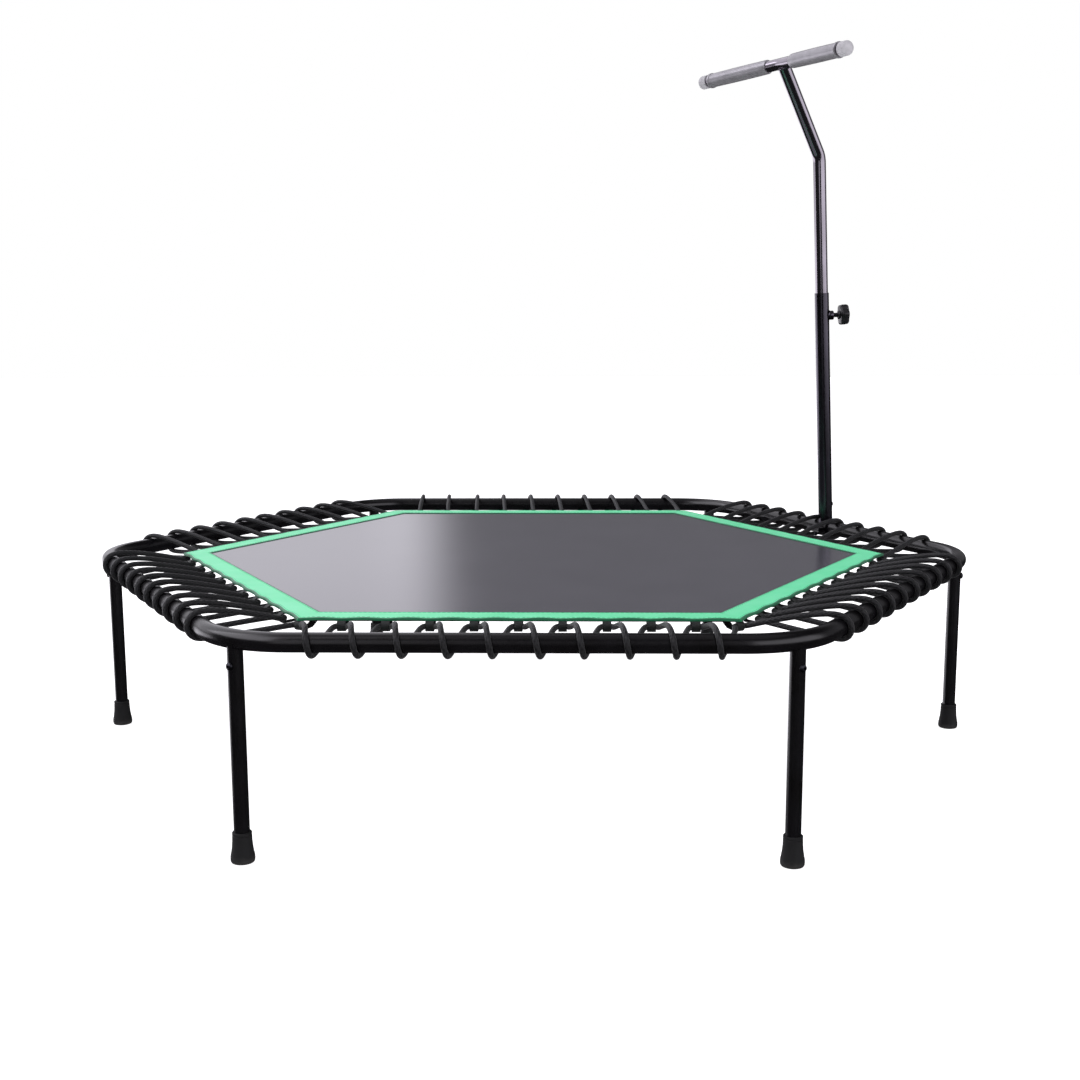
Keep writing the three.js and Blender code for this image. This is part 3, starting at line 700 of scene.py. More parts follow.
def foot_piece():
    """A flared sole, a waist, a groove and a lip round the leg, in millimetres."""
    height = (foot_high.z - foot_low.z) / MM
    flare = (foot_high.x - foot_low.x) / 2 / MM
    inner = (leg_radius + CLEARANCE) / MM
    lip = inner + FOOT_WALL
    waist = lip + 0.5
    bottom = FOOT_FLOOR / MM + 1
    outline = [(0, 0), (flare - 3.2, 0), (flare - 1.2, 0.7), (flare - 0.3, 2.2), (flare, 5),
               (flare - 0.2, 9), (flare - 1.1, 13), (waist + 0.9, 0.5 * height),
               (waist + 0.2, 0.7 * height), (waist, height - 5), (waist - 0.6, height - 4.4),
               (waist - 0.6, height - 3.8), (waist, height - 3.2), (waist, height - 1),
               (lip - 0.6, height), (inner, height), (inner, bottom), (0, bottom)]
    return turned_body("foot", in_mm(outline), sides=40, place=Matrix.Translation((leg_place, 0, 0)))


keep(ring_of("foot_caps", foot_piece(), rubber), "frame", "black_rubber", *numbered("foot_cap"))

# %% [markdown]
# ## The mat
# The mat hangs flat in its cords, pulled hard at each loop, so its edge is very slightly scalloped: a
# millimetre or two in between the loops. It is a thin solid of two hexagon grids. Every point near the
# edge is drawn in between two loops, by one function that the mat, its border and the seams share.

# %% The pull of the cords on the edge
LOOPS_PER_SIDE = 10
loop_pitch = mat_side / LOOPS_PER_SIDE
SCALLOP = 1.8 * MM
SCALLOP_REACH = 40 * MM
RIPPLE = 0.7 * MM


def side_turn(side):
    """Turns a side's own frame, X out and Y along it, into place."""
    return Matrix.Rotation(2 * pi * (side + 0.5) / SIDES, 4, "Z")


def cord_pull(out, along):
    """How far the cords leave a point in and up, in a side's own frame."""
    near = min(max((out - mat_apothem + SCALLOP_REACH) / SCALLOP_REACH, 0.0), 1.2)
    phase = 2 * pi * (along + mat_side / 2) / loop_pitch
    slack = 0.5 - 0.5 * cos(phase)
    return -SCALLOP * slack * near ** 2, RIPPLE * (slack - 0.5) * near


def pulled(point):
    """A point of the mat's plane, moved as the cords move it."""
    angle = atan2(point.y, point.x)
    side = int(floor(angle / (2 * HALF_CORNER)))
    local = side_turn(side).inverted() @ point
    inward, up = cord_pull(local.x, local.y)
    local.x += inward
    local.z += up
    return side_turn(side) @ local


# %% The mat's mesh
MAT_RINGS = 56
MAT_STEPS = 60


def hexagon_ring(apothem, count, z):
    """Points evenly along a hexagon, count for each side, starting at the corner on the X axis."""
    corners = [Vector((cos(a), sin(a), 0)) * (apothem / cos(HALF_CORNER))
               for a in (2 * HALF_CORNER * i for i in range(SIDES + 1))]
    return [corners[i].lerp(corners[i + 1], j / count) + Vector((0, 0, z))
            for i in range(SIDES) for j in range(count)]


def mat_piece():
    edge = mat_apothem - 0.5 * MM
    layers = [(edge * i / MAT_RINGS, mat_high.z) for i in range(1, MAT_RINGS + 1)]
    layers += [(edge * i / MAT_RINGS, mat_low.z) for i in range(MAT_RINGS, 0, -1)]
    rings = [[pulled(p) for p in hexagon_ring(a, MAT_STEPS, z)] for a, z in layers]
    faces, _ = skin_rings(rings)
    vertices = [p for ring in rings for p in ring]
    sides = MAT_STEPS * SIDES
    for z, first, turn in ((mat_high.z, 0, 1), (mat_low.z, (len(rings) - 1) * sides, -1)):
        pole = len(vertices)
        vertices.append(Vector((0, 0, z)))
        for j in range(sides):
            ends = (first + j, first + (j + 1) % sides)
            faces.append((pole, *ends[::turn]))
    faces = [face[::-1] for face in faces[:(len(rings) - 1) * sides]] + faces[(len(rings) - 1) * sides:]
    return make_piece("jump_mat_cloth", vertices, faces)


mat = paint(mat_piece(), mat_cloth)
keep(mat, "mat", "woven_mat", "jump_mat")

# %% [markdown]
# ## The border
# The green band is folded over the mat's edge and sewn down. One strip covers each side, cut at the
# corners on a mitre. Its cross-section is a thin hook, and it is carried along the side, where the cords
# scallop it. U runs across the band, so the material can paint shade along its rolled edges.

# %% Border strips
BAND_WIDTH = 38.5 * MM
BAND_THICKNESS = 1.1 * MM
MITRE_GAP = 0.25 * MM
BAND_STEPS = 120


def band_profile():
    """The hook, as (distance in from the mat's edge, height over the mat's top), outer skin first."""
    t = BAND_THICKNESS
    top = [(BAND_WIDTH, 0.0), (BAND_WIDTH, t * 0.7), (BAND_WIDTH - 1 * MM, t)]
    top += [(BAND_WIDTH - 1 * MM - (BAND_WIDTH - 2 * MM) * i / 10, t) for i in range(1, 11)]
    fold = [(-0.1 * MM, t * 0.9), (-0.9 * MM, t * 0.3), (-1.1 * MM, -1.2 * MM), (-0.8 * MM, -2.3 * MM)]
    under = [(0.6 * MM, -2.4 * MM), (0.6 * MM, 0.0)]
    return top + fold + under


def border_piece():
    profile = band_profile()
    count, steps = len(profile), BAND_STEPS
    vertices, faces, uvs = [], [], []
    for side in range(SIDES):
        first = len(vertices)
        for i in range(steps + 1):
            for inset, lift in profile:
                out = mat_apothem - inset
                half = out * tan(HALF_CORNER) - MITRE_GAP
                along = half * (2 * i / steps - 1)
                inward, up = cord_pull(out, along)
                local = Vector((out + inward, along, mat_high.z + 0.05 * MM + lift + up))
                vertices.append(side_turn(side) @ local)
        for i in range(steps):
            for j in range(count):
                k = (j + 1) % count
                a, b = first + i * count + j, first + i * count + k
                faces.append((a, b, b + count, a + count))
                share = [1 - min(max(profile[m][0] / BAND_WIDTH, 0.0), 1.0) for m in (j, k)]
                uvs += [(share[0], 0), (share[1], 0), (share[1], 1), (share[0], 1)]
        for start in (first, first + steps * count):
            cap = tuple(range(start, start + count))
            faces.append(cap[::-1] if start == first else cap)
            uvs += [(0.5, 0.5)] * count
    return make_piece("mat_border_band", vertices, faces, uvs)


border = paint(border_piece(), mint)
keep(border, "mat", "mint_band", "mat_border")

# %% [markdown]
# ## Stitches
# Two rows of stitches hold the band down. A stitch is a short, thick thread, nearly end to end with the
# next. There are about a thousand, so a node tree lays them along the seam's line, each turned to follow
# it, with a slight random lean from a fixed seed.

# %% Stitch rows
STITCH_PITCH = 6.5 * MM
STITCH_SHAPE = (5.6, 1.0, 0.8)
SEAM_STEPS = 90


def stitch_tree():
    tree, keys, given = new_tree(
        "stitch row", ("Geometry", "Geometry", None), ("Pitch", "Float", STITCH_PITCH),
        ("Thread Radius", "Float", 0.45 * MM), ("Seed", "Int", 7), ("Finish", "Material", mint_thread))
    line = add_node(tree, "GeometryNodeMeshToCurve", {"Mesh": given["Geometry"]})
    places = add_node(tree, "GeometryNodeResampleCurve", {
        "Curve": line, "Length": given["Pitch"]}, mode="LENGTH")
    lean = add_node(tree, "FunctionNodeRandomValue", {
        0: (-0.03, -0.03, -0.08), 1: (0.03, 0.03, 0.08), "Seed": given["Seed"]}, data_type="FLOAT_VECTOR")
    along = add_node(tree, "ShaderNodeVectorMath", {
        0: add_node(tree, "GeometryNodeInputTangent"), 1: lean}, operation="ADD")
    turn = add_node(tree, "FunctionNodeAlignRotationToVector", {"Vector": along}, axis="X")
    ball = add_node(tree, "GeometryNodeMeshUVSphere", {
        "Segments": 8, "Rings": 5, "Radius": given["Thread Radius"]})
    shape = add_node(tree, "GeometryNodeTransform", {"Geometry": ball, "Scale": STITCH_SHAPE})
    copies = add_node(tree, "GeometryNodeInstanceOnPoints", {
        "Points": places, "Instance": shape, "Rotation": turn})
    smooth = add_node(tree, "GeometryNodeSetShadeSmooth", {"Geometry": copies})
    finish_tree(tree, smooth, given["Finish"])
    return tree, keys


def stitch_row(name, inset):
    """Stitches around the mat, a distance in from its edge."""
    lift = BAND_THICKNESS + 0.2 * MM
    points = [pulled(p) for p in hexagon_ring(mat_apothem - inset, SEAM_STEPS, mat_high.z + lift)]
    line = make_line(name + "_line", points, closed=True)
    return apply_tree(name, STITCHES, {STITCH_KEYS["Finish"]: mint_thread}, line)


STITCHES, STITCH_KEYS = stitch_tree()
seams = [stitch_row("outer_seam", 4.5 * MM), stitch_row("inner_seam", 34 * MM)]
for seam in seams:
    keep(seam, "mat", "mint_band")

# %% [markdown]
# ## Webbing and cord loops
# A strip of black webbing is sewn under the band, and straps fold round from it into loops: nine on each
# side, and one at each corner. A loop is a flat band with a teardrop outline, and the cord turns inside
# it. A tree lays the nine along one side, and the corner's own loop joins them.

# %% Webbing strips and loops
LOOP_WIDTH = 11 * MM
LOOP_REACH = 7 * MM
LOOP_EYE = 5.6 * MM
STRAP = 1.3 * MM
WEB_WIDTH = 28 * MM
WEB_INSET = 2.5 * MM
CORNER_SETBACK = 6 * MM
web_top = mat_low.z - 0.2 * MM
loop_middle = web_top - STRAP - LOOP_EYE


def band_loop(name, outline, width):
    """A closed outline in the X-Z plane as a strap of a width along Y, with its own thickness."""
    count = len(outline)
    points = [Vector((x, 0, z)) for x, z in outline]
    inner = []
    for i, point in enumerate(points):
        tangent = (points[(i + 1) % count] - points[i - 1]).normalized()
        inner.append(point - Vector((tangent.z, 0, -tangent.x)) * STRAP)
    rings = []
    for source, y in ((points, width / 2), (points, -width / 2), (inner, -width / 2), (inner, width / 2)):
        rings.append([p + Vector((0, y, 0)) for p in source])
    return skin_piece(name, rings)


def loop_piece():
    """The teardrop: its mouth end is a half circle round the cord, and its tail lies on the webbing."""
    nose = [(LOOP_REACH - LOOP_EYE + LOOP_EYE * sin(a), loop_middle + LOOP_EYE * cos(a))
            for a in (pi * i / 10 for i in range(11))]
    tail = [(-16 * MM, loop_middle - LOOP_EYE * 0.75), (-24 * MM, loop_middle + 0.5 * MM),
            (-27 * MM, web_top - 2.4 * MM), (-27.5 * MM, web_top - 0.9 * MM), (-20 * MM, web_top - STRAP)]
    return band_loop("strap_loop", nose + tail, LOOP_WIDTH)


def row_tree():
    tree, keys, given = new_tree(
        "row of loops", ("Loop", "Object", None), ("Count", "Int", LOOPS_PER_SIDE - 1),
        ("Pitch", "Float", loop_pitch), ("Distance", "Float", mat_apothem), ("Finish", "Material", webbing))
    info = add_node(tree, "GeometryNodeObjectInfo", {"Object": given["Loop"]})
    index = add_node(tree, "GeometryNodeInputIndex")
    span = math_node(tree, "MULTIPLY", math_node(tree, "SUBTRACT", given["Count"], 1.0), 0.5)
    along = math_node(tree, "MULTIPLY", math_node(tree, "SUBTRACT", index, span), given["Pitch"])
    place = add_node(tree, "ShaderNodeCombineXYZ", {"X": given["Distance"], "Y": along})
    points = add_node(tree, "GeometryNodePoints", {"Count": given["Count"], "Position": place})
    copies = add_node(tree, "GeometryNodeInstanceOnPoints", {
        "Points": points, "Instance": info.outputs["Geometry"]})
    finish_tree(tree, copies, given["Finish"])
    return tree, keys


def strip_piece():
    """One side's flat strip under the mat, mitred at both ends."""
    outer, inner = mat_apothem - WEB_INSET, mat_apothem - WEB_INSET - WEB_WIDTH
    slope = tan(HALF_CORNER)
    plan = [(inner, -inner * slope + MITRE_GAP), (outer, -outer * slope + MITRE_GAP),
            (outer, outer * slope - MITRE_GAP), (inner, inner * slope - MITRE_GAP)]
    low, high = web_top - STRAP, web_top
    rings = [[Vector((x, y, z)) for x, y in plan] for z in (low, high)]
    faces, uvs = skin_rings(rings)
    faces += [(3, 2, 1, 0), (4, 5, 6, 7)]
    uvs += [(0, 0)] * 8
    return make_piece("strip", [p for ring in rings for p in ring], faces, uvs)


def side_webbing():
    loop = loop_piece()
    corner_loop = link(bpy.data.objects.new("corner_loop", loop.data.copy()))
    corner = Matrix.Rotation(-HALF_CORNER, 4, "Z") @ Matrix.Translation((mat_corner - CORNER_SETBACK, 0, 0))
    corner_loop.data.transform(corner)
    tree, keys = row_tree()
    row = apply_tree("loop_row", tree, {
        keys["Loop"]: loop, keys["Pitch"]: loop_pitch, keys["Distance"]: mat_apothem,
        keys["Finish"]: webbing})
    bpy.data.objects.remove(loop)
    whole = join_pieces("side_webbing", [row, corner_loop, strip_piece()])
    whole.data.transform(side_turn(0))
    return whole


edge = ring_of("edge_webbing", side_webbing(), webbing)
edge.data.shade_smooth()
edge.data.set_sharp_from_angle(angle=SHARP)
keep(edge, "mat", "black_webbing", *numbered("edge_webbing"))

# %% [markdown]
# ## The elastic cord
# The cord leaves a loop, climbs over the rail half a step further on, slants down its outer face, goes
# back underneath to the next loop, turns through it and starts again: ten wraps on each side. A held
# cord like this one is made along its real route, and smoothed a little where it changes direction.
# Each side is its own length, and the ends meet inside the corner loops, where nothing shows.

# %% The cord's route
CORD_RADIUS = 3.8 * MM
ROUTE_STEP = 2.2 * MM
SMOOTHINGS = 3

# Round the rail: from the inner top to the inner underside, in degrees, shifting a little along it.
WRAP_FROM, WRAP_TO, WRAP_STEPS = 74, -92, 16
WRAP_SLANT = 8.5 * MM
WRAP_TO_BEND = 30 * MM
WRAP_UNEVEN, SLANT_UNEVEN = 1.6, 1.5

# Through a loop: a half circle less a cut at each end, in degrees.
TURN_RADIUS = 8.8 * MM
TURN_DEPTH = 7.8 * MM
TURN_CUT, TURN_STEP = 18, 12

# In between: how far each end keeps its direction, and how steeply the cord climbs from a loop.
LOOP_PULL, RAIL_PULL = 18 * MM, 22 * MM
LOOP_RISE = 0.35
STRAND_STEPS = 16

bend_tangent = bend_radius * tan(HALF_CORNER)
wrap_pitch = (rail_side - 2 * (bend_tangent + WRAP_TO_BEND)) / (LOOPS_PER_SIDE - 1)
dice = random.Random(20)


def loop_place(i):
    """The mouth of loop i in a side's own frame, and the turn to its outward direction."""
    if i % LOOPS_PER_SIDE:
        return Vector((mat_apothem + LOOP_REACH, i * loop_pitch - mat_side / 2, 0)), 0.0
    angle = -HALF_CORNER if i == 0 else HALF_CORNER
    reach = mat_corner - CORNER_SETBACK + LOOP_REACH
    return Vector((reach * cos(angle), reach * sin(angle), 0)), angle


def loop_turn(i, low=180, high=360):
    """The cord's turn through a loop, seen from above, between two angles in degrees."""
    mouth, angle = loop_place(i)
    centre = TURN_RADIUS - TURN_DEPTH
    low, high = max(low, 180 + TURN_CUT), min(high, 360 - TURN_CUT)
    points = []
    for degrees in range(low, high + 1, TURN_STEP):
        a = radians(degrees)
        out = Vector((centre + TURN_RADIUS * sin(a), TURN_RADIUS * cos(a), loop_middle))
        points.append(mouth + Matrix.Rotation(angle, 4, "Z") @ out)
    return points


def rail_wrap(i, shift, slant):
    """The cord's way over and round the rail, from its inner top to its inner underside."""
    middle = (i - (LOOPS_PER_SIDE - 1) / 2) * wrap_pitch + shift
    reach = rail_radius + CORD_RADIUS + CLEARANCE
    points = []
    for step in range(WRAP_STEPS + 1):
        share = step / WRAP_STEPS
        a = radians(WRAP_FROM + (WRAP_TO - WRAP_FROM) * share)
        along = middle + slant * (share - 0.5)
        points.append(Vector((
            rail_apothem + reach * cos(a), along, rail_height + reach * sin(a))))
    return points


def strand(start, leave, end, arrive):
    """A springy stretch between two points: a cubic curve that leaves and arrives along its arrows."""
    points = []
    a, b = start + leave, end - arrive
    for t in (step / STRAND_STEPS for step in range(1, STRAND_STEPS)):
        near, far = 1 - t, t
        points.append(start * near ** 3 + a * (3 * far * near ** 2) + b * (3 * far ** 2 * near)
                      + end * far ** 3)
    return points


def resampled(points, step):
    """The same polyline with a point at each step of its length."""
    points = np.array([tuple(p) for p in points])
    lengths = np.concatenate([[0], np.cumsum(np.linalg.norm(np.diff(points, axis=0), axis=1))])
    places = np.linspace(0, lengths[-1], int(lengths[-1] / step) + 1)
    return np.stack([np.interp(places, lengths, points[:, k]) for k in range(3)], axis=1)


def side_route():
    """One side's cord: loop, rail, loop and so on, with springy stretches in between."""
    pieces = [loop_turn(0, 270, 360)]
    for i in range(LOOPS_PER_SIDE):
        shift = dice.uniform(-WRAP_UNEVEN, WRAP_UNEVEN) * MM
        slant = WRAP_SLANT + dice.uniform(-SLANT_UNEVEN, SLANT_UNEVEN) * MM
        pieces.append(rail_wrap(i, shift, slant))
        pieces.append(loop_turn(i + 1, 180, 270 if i == LOOPS_PER_SIDE - 1 else 360))
    route = list(pieces[0])
    for i, (before, after) in enumerate(zip(pieces, pieces[1:])):
        to_rail = i % 2 == 0
        leave, arrive = (before[-1] - before[-2]).normalized(), (after[1] - after[0]).normalized()
        if to_rail:
            leave.z += LOOP_RISE
        pulls = (LOOP_PULL, RAIL_PULL) if to_rail else (RAIL_PULL, LOOP_PULL)
        route += strand(before[-1], leave * pulls[0], after[0], arrive * pulls[1])
        route += after
    route = resampled(route, ROUTE_STEP)
    for _ in range(SMOOTHINGS):
        route[1:-1] = (route[:-2] + 2 * route[1:-1] + route[2:]) / 4
    return route


# %% Six lengths of cord
cord_length = 0.0
for side in range(SIDES):
    route = side_route()
    cord_length += float(np.linalg.norm(np.diff(route, axis=0), axis=1).sum())
    cord = swept_tube(f"elastic_cord_{side + 1}", route, CORD_RADIUS, sides=14, place=side_turn(side))
    paint(cord, cord_cover)
    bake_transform(cord)
    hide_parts(f"bungee_cord_{side + 1}")
print(f"elastic cord, whole length {cord_length:.2f} m")

# %% [markdown]
# ## The mast
# A clamp grips the rail in the middle of one side and carries the mast, which leans in over the mat.
# All of it is made upright in the mast's own frame, X out from the mat, Y along the rail and Z up the
# mast, and one matrix sets it in place. The lower tube has a fish mouth that sits on the clamp, and a
# welded boss for the knob's screw.

# %% The mast's own frame
joints = {joint["name"]: joint for joint in frame["joints"]}
mast_axis = Vector(joints["handle_height"]["axis"]).normalized()
rail_line = side_turn(0).to_3x3() @ Vector((0, 1, 0))
mast_out = rail_line.cross(mast_axis).normalized()
mast_foot = side_turn(0) @ Vector((rail_apothem, 0, rail_height))
mast_place = Matrix.Translation(mast_foot) @ Matrix((
    (mast_out.x, rail_line.x, mast_axis.x), (mast_out.y, rail_line.y, mast_axis.y),
    (mast_out.z, rail_line.z, mast_axis.z))).to_4x4()

MAST_RADIUS = 12.5 * MM
MAST_BORE = 11.3 * MM
SADDLE_RADIUS = 16.3 * MM
SLIDER_RADIUS = 11 * MM
BAR_RADIUS = 9.5 * MM
KNOB_BELOW_TOP = 40 * MM
knob_point = mast_place.inverted() @ Vector(joints["knob_turn"]["pos_m"])
knob_height = knob_point.z
knob_axis = (mast_place.inverted().to_3x3() @ Vector(joints["knob_turn"]["axis"])).normalized()
knob_place = Matrix.Translation((0, 0, knob_height)) @ Vector((0, 0, 1)).rotation_difference(
    knob_axis).to_matrix().to_4x4()
mast_top = knob_height + KNOB_BELOW_TOP


# %% Lower mast tube, boss and bolts
BEAD_SIDES = 8
BOSS_END, BOSS_RADIUS = 20 * MM, 8 * MM
BASE_BOLT_HEIGHT = 42 * MM
SCREW_OFFSET = 23 * MM
SCREW_SEAT = 3.9 * MM


def weld_ring(name, stations, up, place):
    """A closed bead of weld through stations of (middle, outward, thickness). up points off the joint."""
    turns = [2 * pi * j / BEAD_SIDES for j in range(BEAD_SIDES)]
    return skin_piece(name, [[middle + (outward * cos(b) + up * sin(b)) * thick for b in turns]
                             for middle, outward, thick in stations], place)


def saddle_crown(offset):
    """How far the tube's foot stops above the rail's middle, over the clamp."""
    return sqrt(max(SADDLE_RADIUS ** 2 - offset.x ** 2, 0.0)) + 0.2 * MM


def boss_weld():
    """The bead round the boss: a circle laid on the tube's side."""
    stations = []
    radius = BOSS_RADIUS + 0.4 * MM
    for a in (2 * pi * i / 48 for i in range(48)):
        x, y = radius * sin(a), radius * cos(a)
        height = sqrt(MAST_RADIUS ** 2 - y ** 2) + 0.2 * MM
        stations.append((Vector((x, y, height)), Vector((x, y, 0)).normalized(), 1.1 * MM))
    return weld_ring("weld", stations, Vector((0, 0, 1)), knob_place)


def lower_mast():
    tube = swept_tube("tube", [(0, 0, 0), (0, 0, 24 * MM), (0, 0, mast_top - 0.5 * MM), (0, 0, mast_top)],
                      MAST_RADIUS, sides=48, bore=MAST_BORE, cope=(saddle_crown, None))
    boss = turned_body("boss", rounded(MAST_BORE + 0.6 * MM, BOSS_END, BOSS_RADIUS, 0.8 * MM),
                       place=knob_place)
    return join_pieces("mast_lower", [tube, boss, boss_weld()])


lower = paint(lower_mast(), black_chrome)
lower.data.transform(mast_place)
keep(lower, "frame", "black_chrome", "mast_lower_tube")

base_place = Matrix.Translation((0, 0, BASE_BOLT_HEIGHT)) @ Matrix.Rotation(pi / 2, 4, "Y")
for name, seat, place, node in (
        ("mast_bolt", MAST_RADIUS + CLEARANCE, base_place, "mast_base_bolt"),
        ("clamp_bolt_inner", SCREW_SEAT, Matrix.Translation((-SCREW_OFFSET, 0, 0)), "saddle_screw_inner"),
        ("clamp_bolt_outer", SCREW_SEAT, Matrix.Translation((SCREW_OFFSET, 0, 0)), "saddle_screw_outer")):
    fixing = paint(bolt_piece(name, seat), dark_steel)
    fixing.data.transform(mast_place @ place)
    keep(fixing, "frame", "blackened_steel", node)
for node in ("mast_saddle_upper", "mast_saddle_lower"):
    paint(frame["nodes"][node], rail_paint)

# %% [markdown]
# ## The handle
# The upper tube slides in the lower one, bends in over the mat and carries the cross bar. Its top is
# cut round the bar and welded. The bar is bent a little in its middle, so that both ends come towards
# the user. Vinyl sleeves cover it, and each end has a rounded plastic cap.

# %% Upper tube and cross bar
ARM_HEIGHT = 659 * MM
ARM_LENGTH = 173 * MM
ARM_ANGLE = radians(26)
ARM_BEND = 42 * MM
SWEEP = radians(7.8)
DROOP = radians(1.7)
BAR_HALF = 184 * MM
BAR_BEND = 80 * MM
SLIDER_INSIDE = 250 * MM
FLAT_CUT = 6.5 * MM
ARM_WELD_WIDE, ARM_WELD_LONG = 10.2 * MM, 10.4 * MM
arm = Vector((-sin(ARM_ANGLE), 0, cos(ARM_ANGLE)))
bar_centre = Vector((0, 0, ARM_HEIGHT)) + arm * ARM_LENGTH
side_way = Vector((arm.z, 0, -arm.x))
slider_end = mast_top - SLIDER_INSIDE


def half_direction(side):
    """Along one half of the bar, outward: swept back and drooping a little."""
    flat = cos(DROOP)
    return Vector((-sin(SWEEP) * flat, side * cos(SWEEP) * flat, -sin(DROOP)))


def around_bar(offset):
    """The arm's fish mouth: how far its wall stops short of the bar's middle."""
    wide = offset.dot(side_way)
    reach = BAR_RADIUS + CLEARANCE
    return -max(FLAT_CUT, sqrt(max(reach ** 2 - wide ** 2, 0.0)))


def upper_mast():
    tangent = ARM_BEND * tan(ARM_ANGLE / 2)
    route = [(0, 0, slider_end)]
    for i in range(15):
        a = ARM_ANGLE * i / 14
        route.append((ARM_BEND * (cos(a) - 1), 0, ARM_HEIGHT - tangent + ARM_BEND * sin(a)))
    route.append(tuple(bar_centre))
    return swept_tube("mast_upper", route, SLIDER_RADIUS, sides=48, bore=9.8 * MM, cope=(None, around_bar),
                      place=mast_place)


def bar_route():
    """The bar's centre line: straight, a short bend, straight."""
    tangent = BAR_BEND * tan(SWEEP)
    ends = [bar_centre + half_direction(side) * BAR_HALF for side in (1, -1)]
    corners = [bar_centre + half_direction(side) * tangent for side in (1, -1)]
    bend = []
    for i in range(9):
        t = i / 8
        first = corners[0].lerp(bar_centre, t)
        bend.append(first.lerp(bar_centre.lerp(corners[1], t), t))
    return [ends[0], *bend, ends[1]]


def arm_weld():
    """A bead of weld where the arm meets the bar: a wavy ring between the two tubes."""
    stations = []
    for a in (2 * pi * i / 64 for i in range(64)):
        wide, along = ARM_WELD_WIDE * cos(a), ARM_WELD_LONG * sin(a)
        drop = max(FLAT_CUT + 0.3 * MM, sqrt(max((BAR_RADIUS + 0.4 * MM) ** 2 - wide ** 2, 0.0)))
        spoke = side_way * wide + Vector((0, along, 0))
        stations.append((bar_centre + spoke - arm * drop, spoke.normalized(),
                         (1.3 + 0.2 * sin(17 * a)) * MM))
    return weld_ring("arm_weld", stations, -arm, mast_place)


upper = paint(join_pieces("mast_upper", [upper_mast(), arm_weld()]), smoked_chrome)
keep(upper, "handle", "smoked_chrome", "mast_upper_tube")
bar = swept_tube("cross_bar", bar_route(), BAR_RADIUS, sides=40, bore=8 * MM, place=mast_place)
keep(paint(bar, smoked_chrome), "handle", "smoked_chrome", "handle_bar")


# %% Grips and end caps
def half_place(side):
    """Sets a piece made along Z on one half of the bar, measured from the bar's middle."""
    turn = Vector((0, 0, 1)).rotation_difference(half_direction(side)).to_matrix().to_4x4()
    return mast_place @ Matrix.Translation(bar_centre) @ turn


def grip_profile():
    """A vinyl sleeve in millimetres: soft rims, a slight crown and a bead at its outer end."""
    start, end, radius, bore = 34, 178, 12, (BAR_RADIUS + CLEARANCE) / MM
    crown = [(radius + 0.35 * sin(pi * i / 12), start + 2 + (end - start - 9) * i / 12)
             for i in range(1, 12)]
    return in_mm([(bore, start), (radius - 1.4, start), (radius - 0.4, start + 0.5), (radius, start + 1.8),
                  *crown, (radius, end - 6.5), (radius + 0.9, end - 5.5), (radius + 1.1, end - 3),
                  (radius + 0.9, end - 0.8), (radius + 0.2, end), (bore, end)])


def cap_profile():
    """An end cap in millimetres: a plug in the bar's bore and a domed head."""
    rim, plug, head, dome = BAR_HALF / MM, 7.6, 11.8, 7
    tip = rim + 20
    arc = [pi / 2 * i / 8 for i in range(8)]
    return in_mm([(0, rim - 13), (plug, rim - 13), (plug, rim + 0.1), (head - 0.6, rim + 0.1),
                  (head, rim + 0.8), *((head * cos(a), tip - dome + dome * sin(a)) for a in arc),
                  (0, tip)])


for name, side in (("left", 1), ("right", -1)):
    sleeve = turned_body(f"grip_sleeve_{name}", grip_profile(), sides=48, place=half_place(side))
    keep(paint(sleeve, grip_vinyl), "handle", "grip_sleeve", f"grip_{name}")
    cap = turned_body(f"end_cap_{name}", cap_profile(), sides=48, place=half_place(side))
    keep(paint(cap, grey_plastic), "handle", "grey_plastic", f"bar_end_cap_{name}")

# %% [markdown]
# ## The locking knob
# A six-lobed moulded knob turns a steel screw in the boss and presses a nylon pad on the sliding tube.
# The knob is a turned body whose radius swells and sinks six times around, and its rims are rounded.
# The screw's thread shows between boss and knob, so its grooves are real, one each 1.25 mm.

# %% Knob, screw and hidden pieces
KNOB_START = 28 * MM
KNOB_LOBES = 6
THREAD_PITCH = 1.25 * MM


def knob_piece():
    """A neck and a head whose radius swells and sinks in lobes, in millimetres."""
    neck = KNOB_START / MM
    start, end = neck + 3, neck + 18.5
    face = end - 1.2
    outline = [(0, neck), (6.2, neck), (7, neck + 0.8), (7.4, start), (15.9, start + 0.6),
               (17.4, start + 1.8), (18, start + 4), (18, end - 4.5), (17.3, end - 2.2),
               (15.7, end - 0.7), (13, end), (10.5, end), (9.8, face), (0, face)]

    def lobe(angle, radius):
        strength = max(0.0, (radius - 10 * MM) / (8 * MM))
        return (1.5 * cos(KNOB_LOBES * angle) - 0.2) * strength * MM

    return turned_body("star_knob", in_mm(outline), sides=96, place=mast_place @ knob_place, lobe=lobe)


def screw_piece():
    first, last = 13.5 * MM, KNOB_START + 10 * MM
    crest, root = 4.0 * MM, 3.45 * MM
    outline = [(0, first), (3.4 * MM, first)]
    z = first + 0.6 * MM
    while z < last - THREAD_PITCH:
        outline += [(crest, z), (crest, z + 0.2 * MM), (root, z + 0.65 * MM)]
        z += THREAD_PITCH
    outline += [(root, last), (0, last)]
    return turned_body("knob_screw", outline, sides=32, place=mast_place @ knob_place)


keep(paint(knob_piece(), black_plastic), "knob", "black_plastic", "lock_knob")
keep(paint(screw_piece(), dark_steel), "knob", "blackened_steel", "clamp_screw")
for node, finish in (("clamp_pad", pale_nylon), ("upper_tube_plug", black_plastic)):
    paint(frame["nodes"][node], finish)

# %% [markdown]
# ## Studio
# A pale floor, a pale room for the camera and soft lights. The floor is stage, not object. A large soft
# panel stands behind on the left, and the satin mat mirrors it.

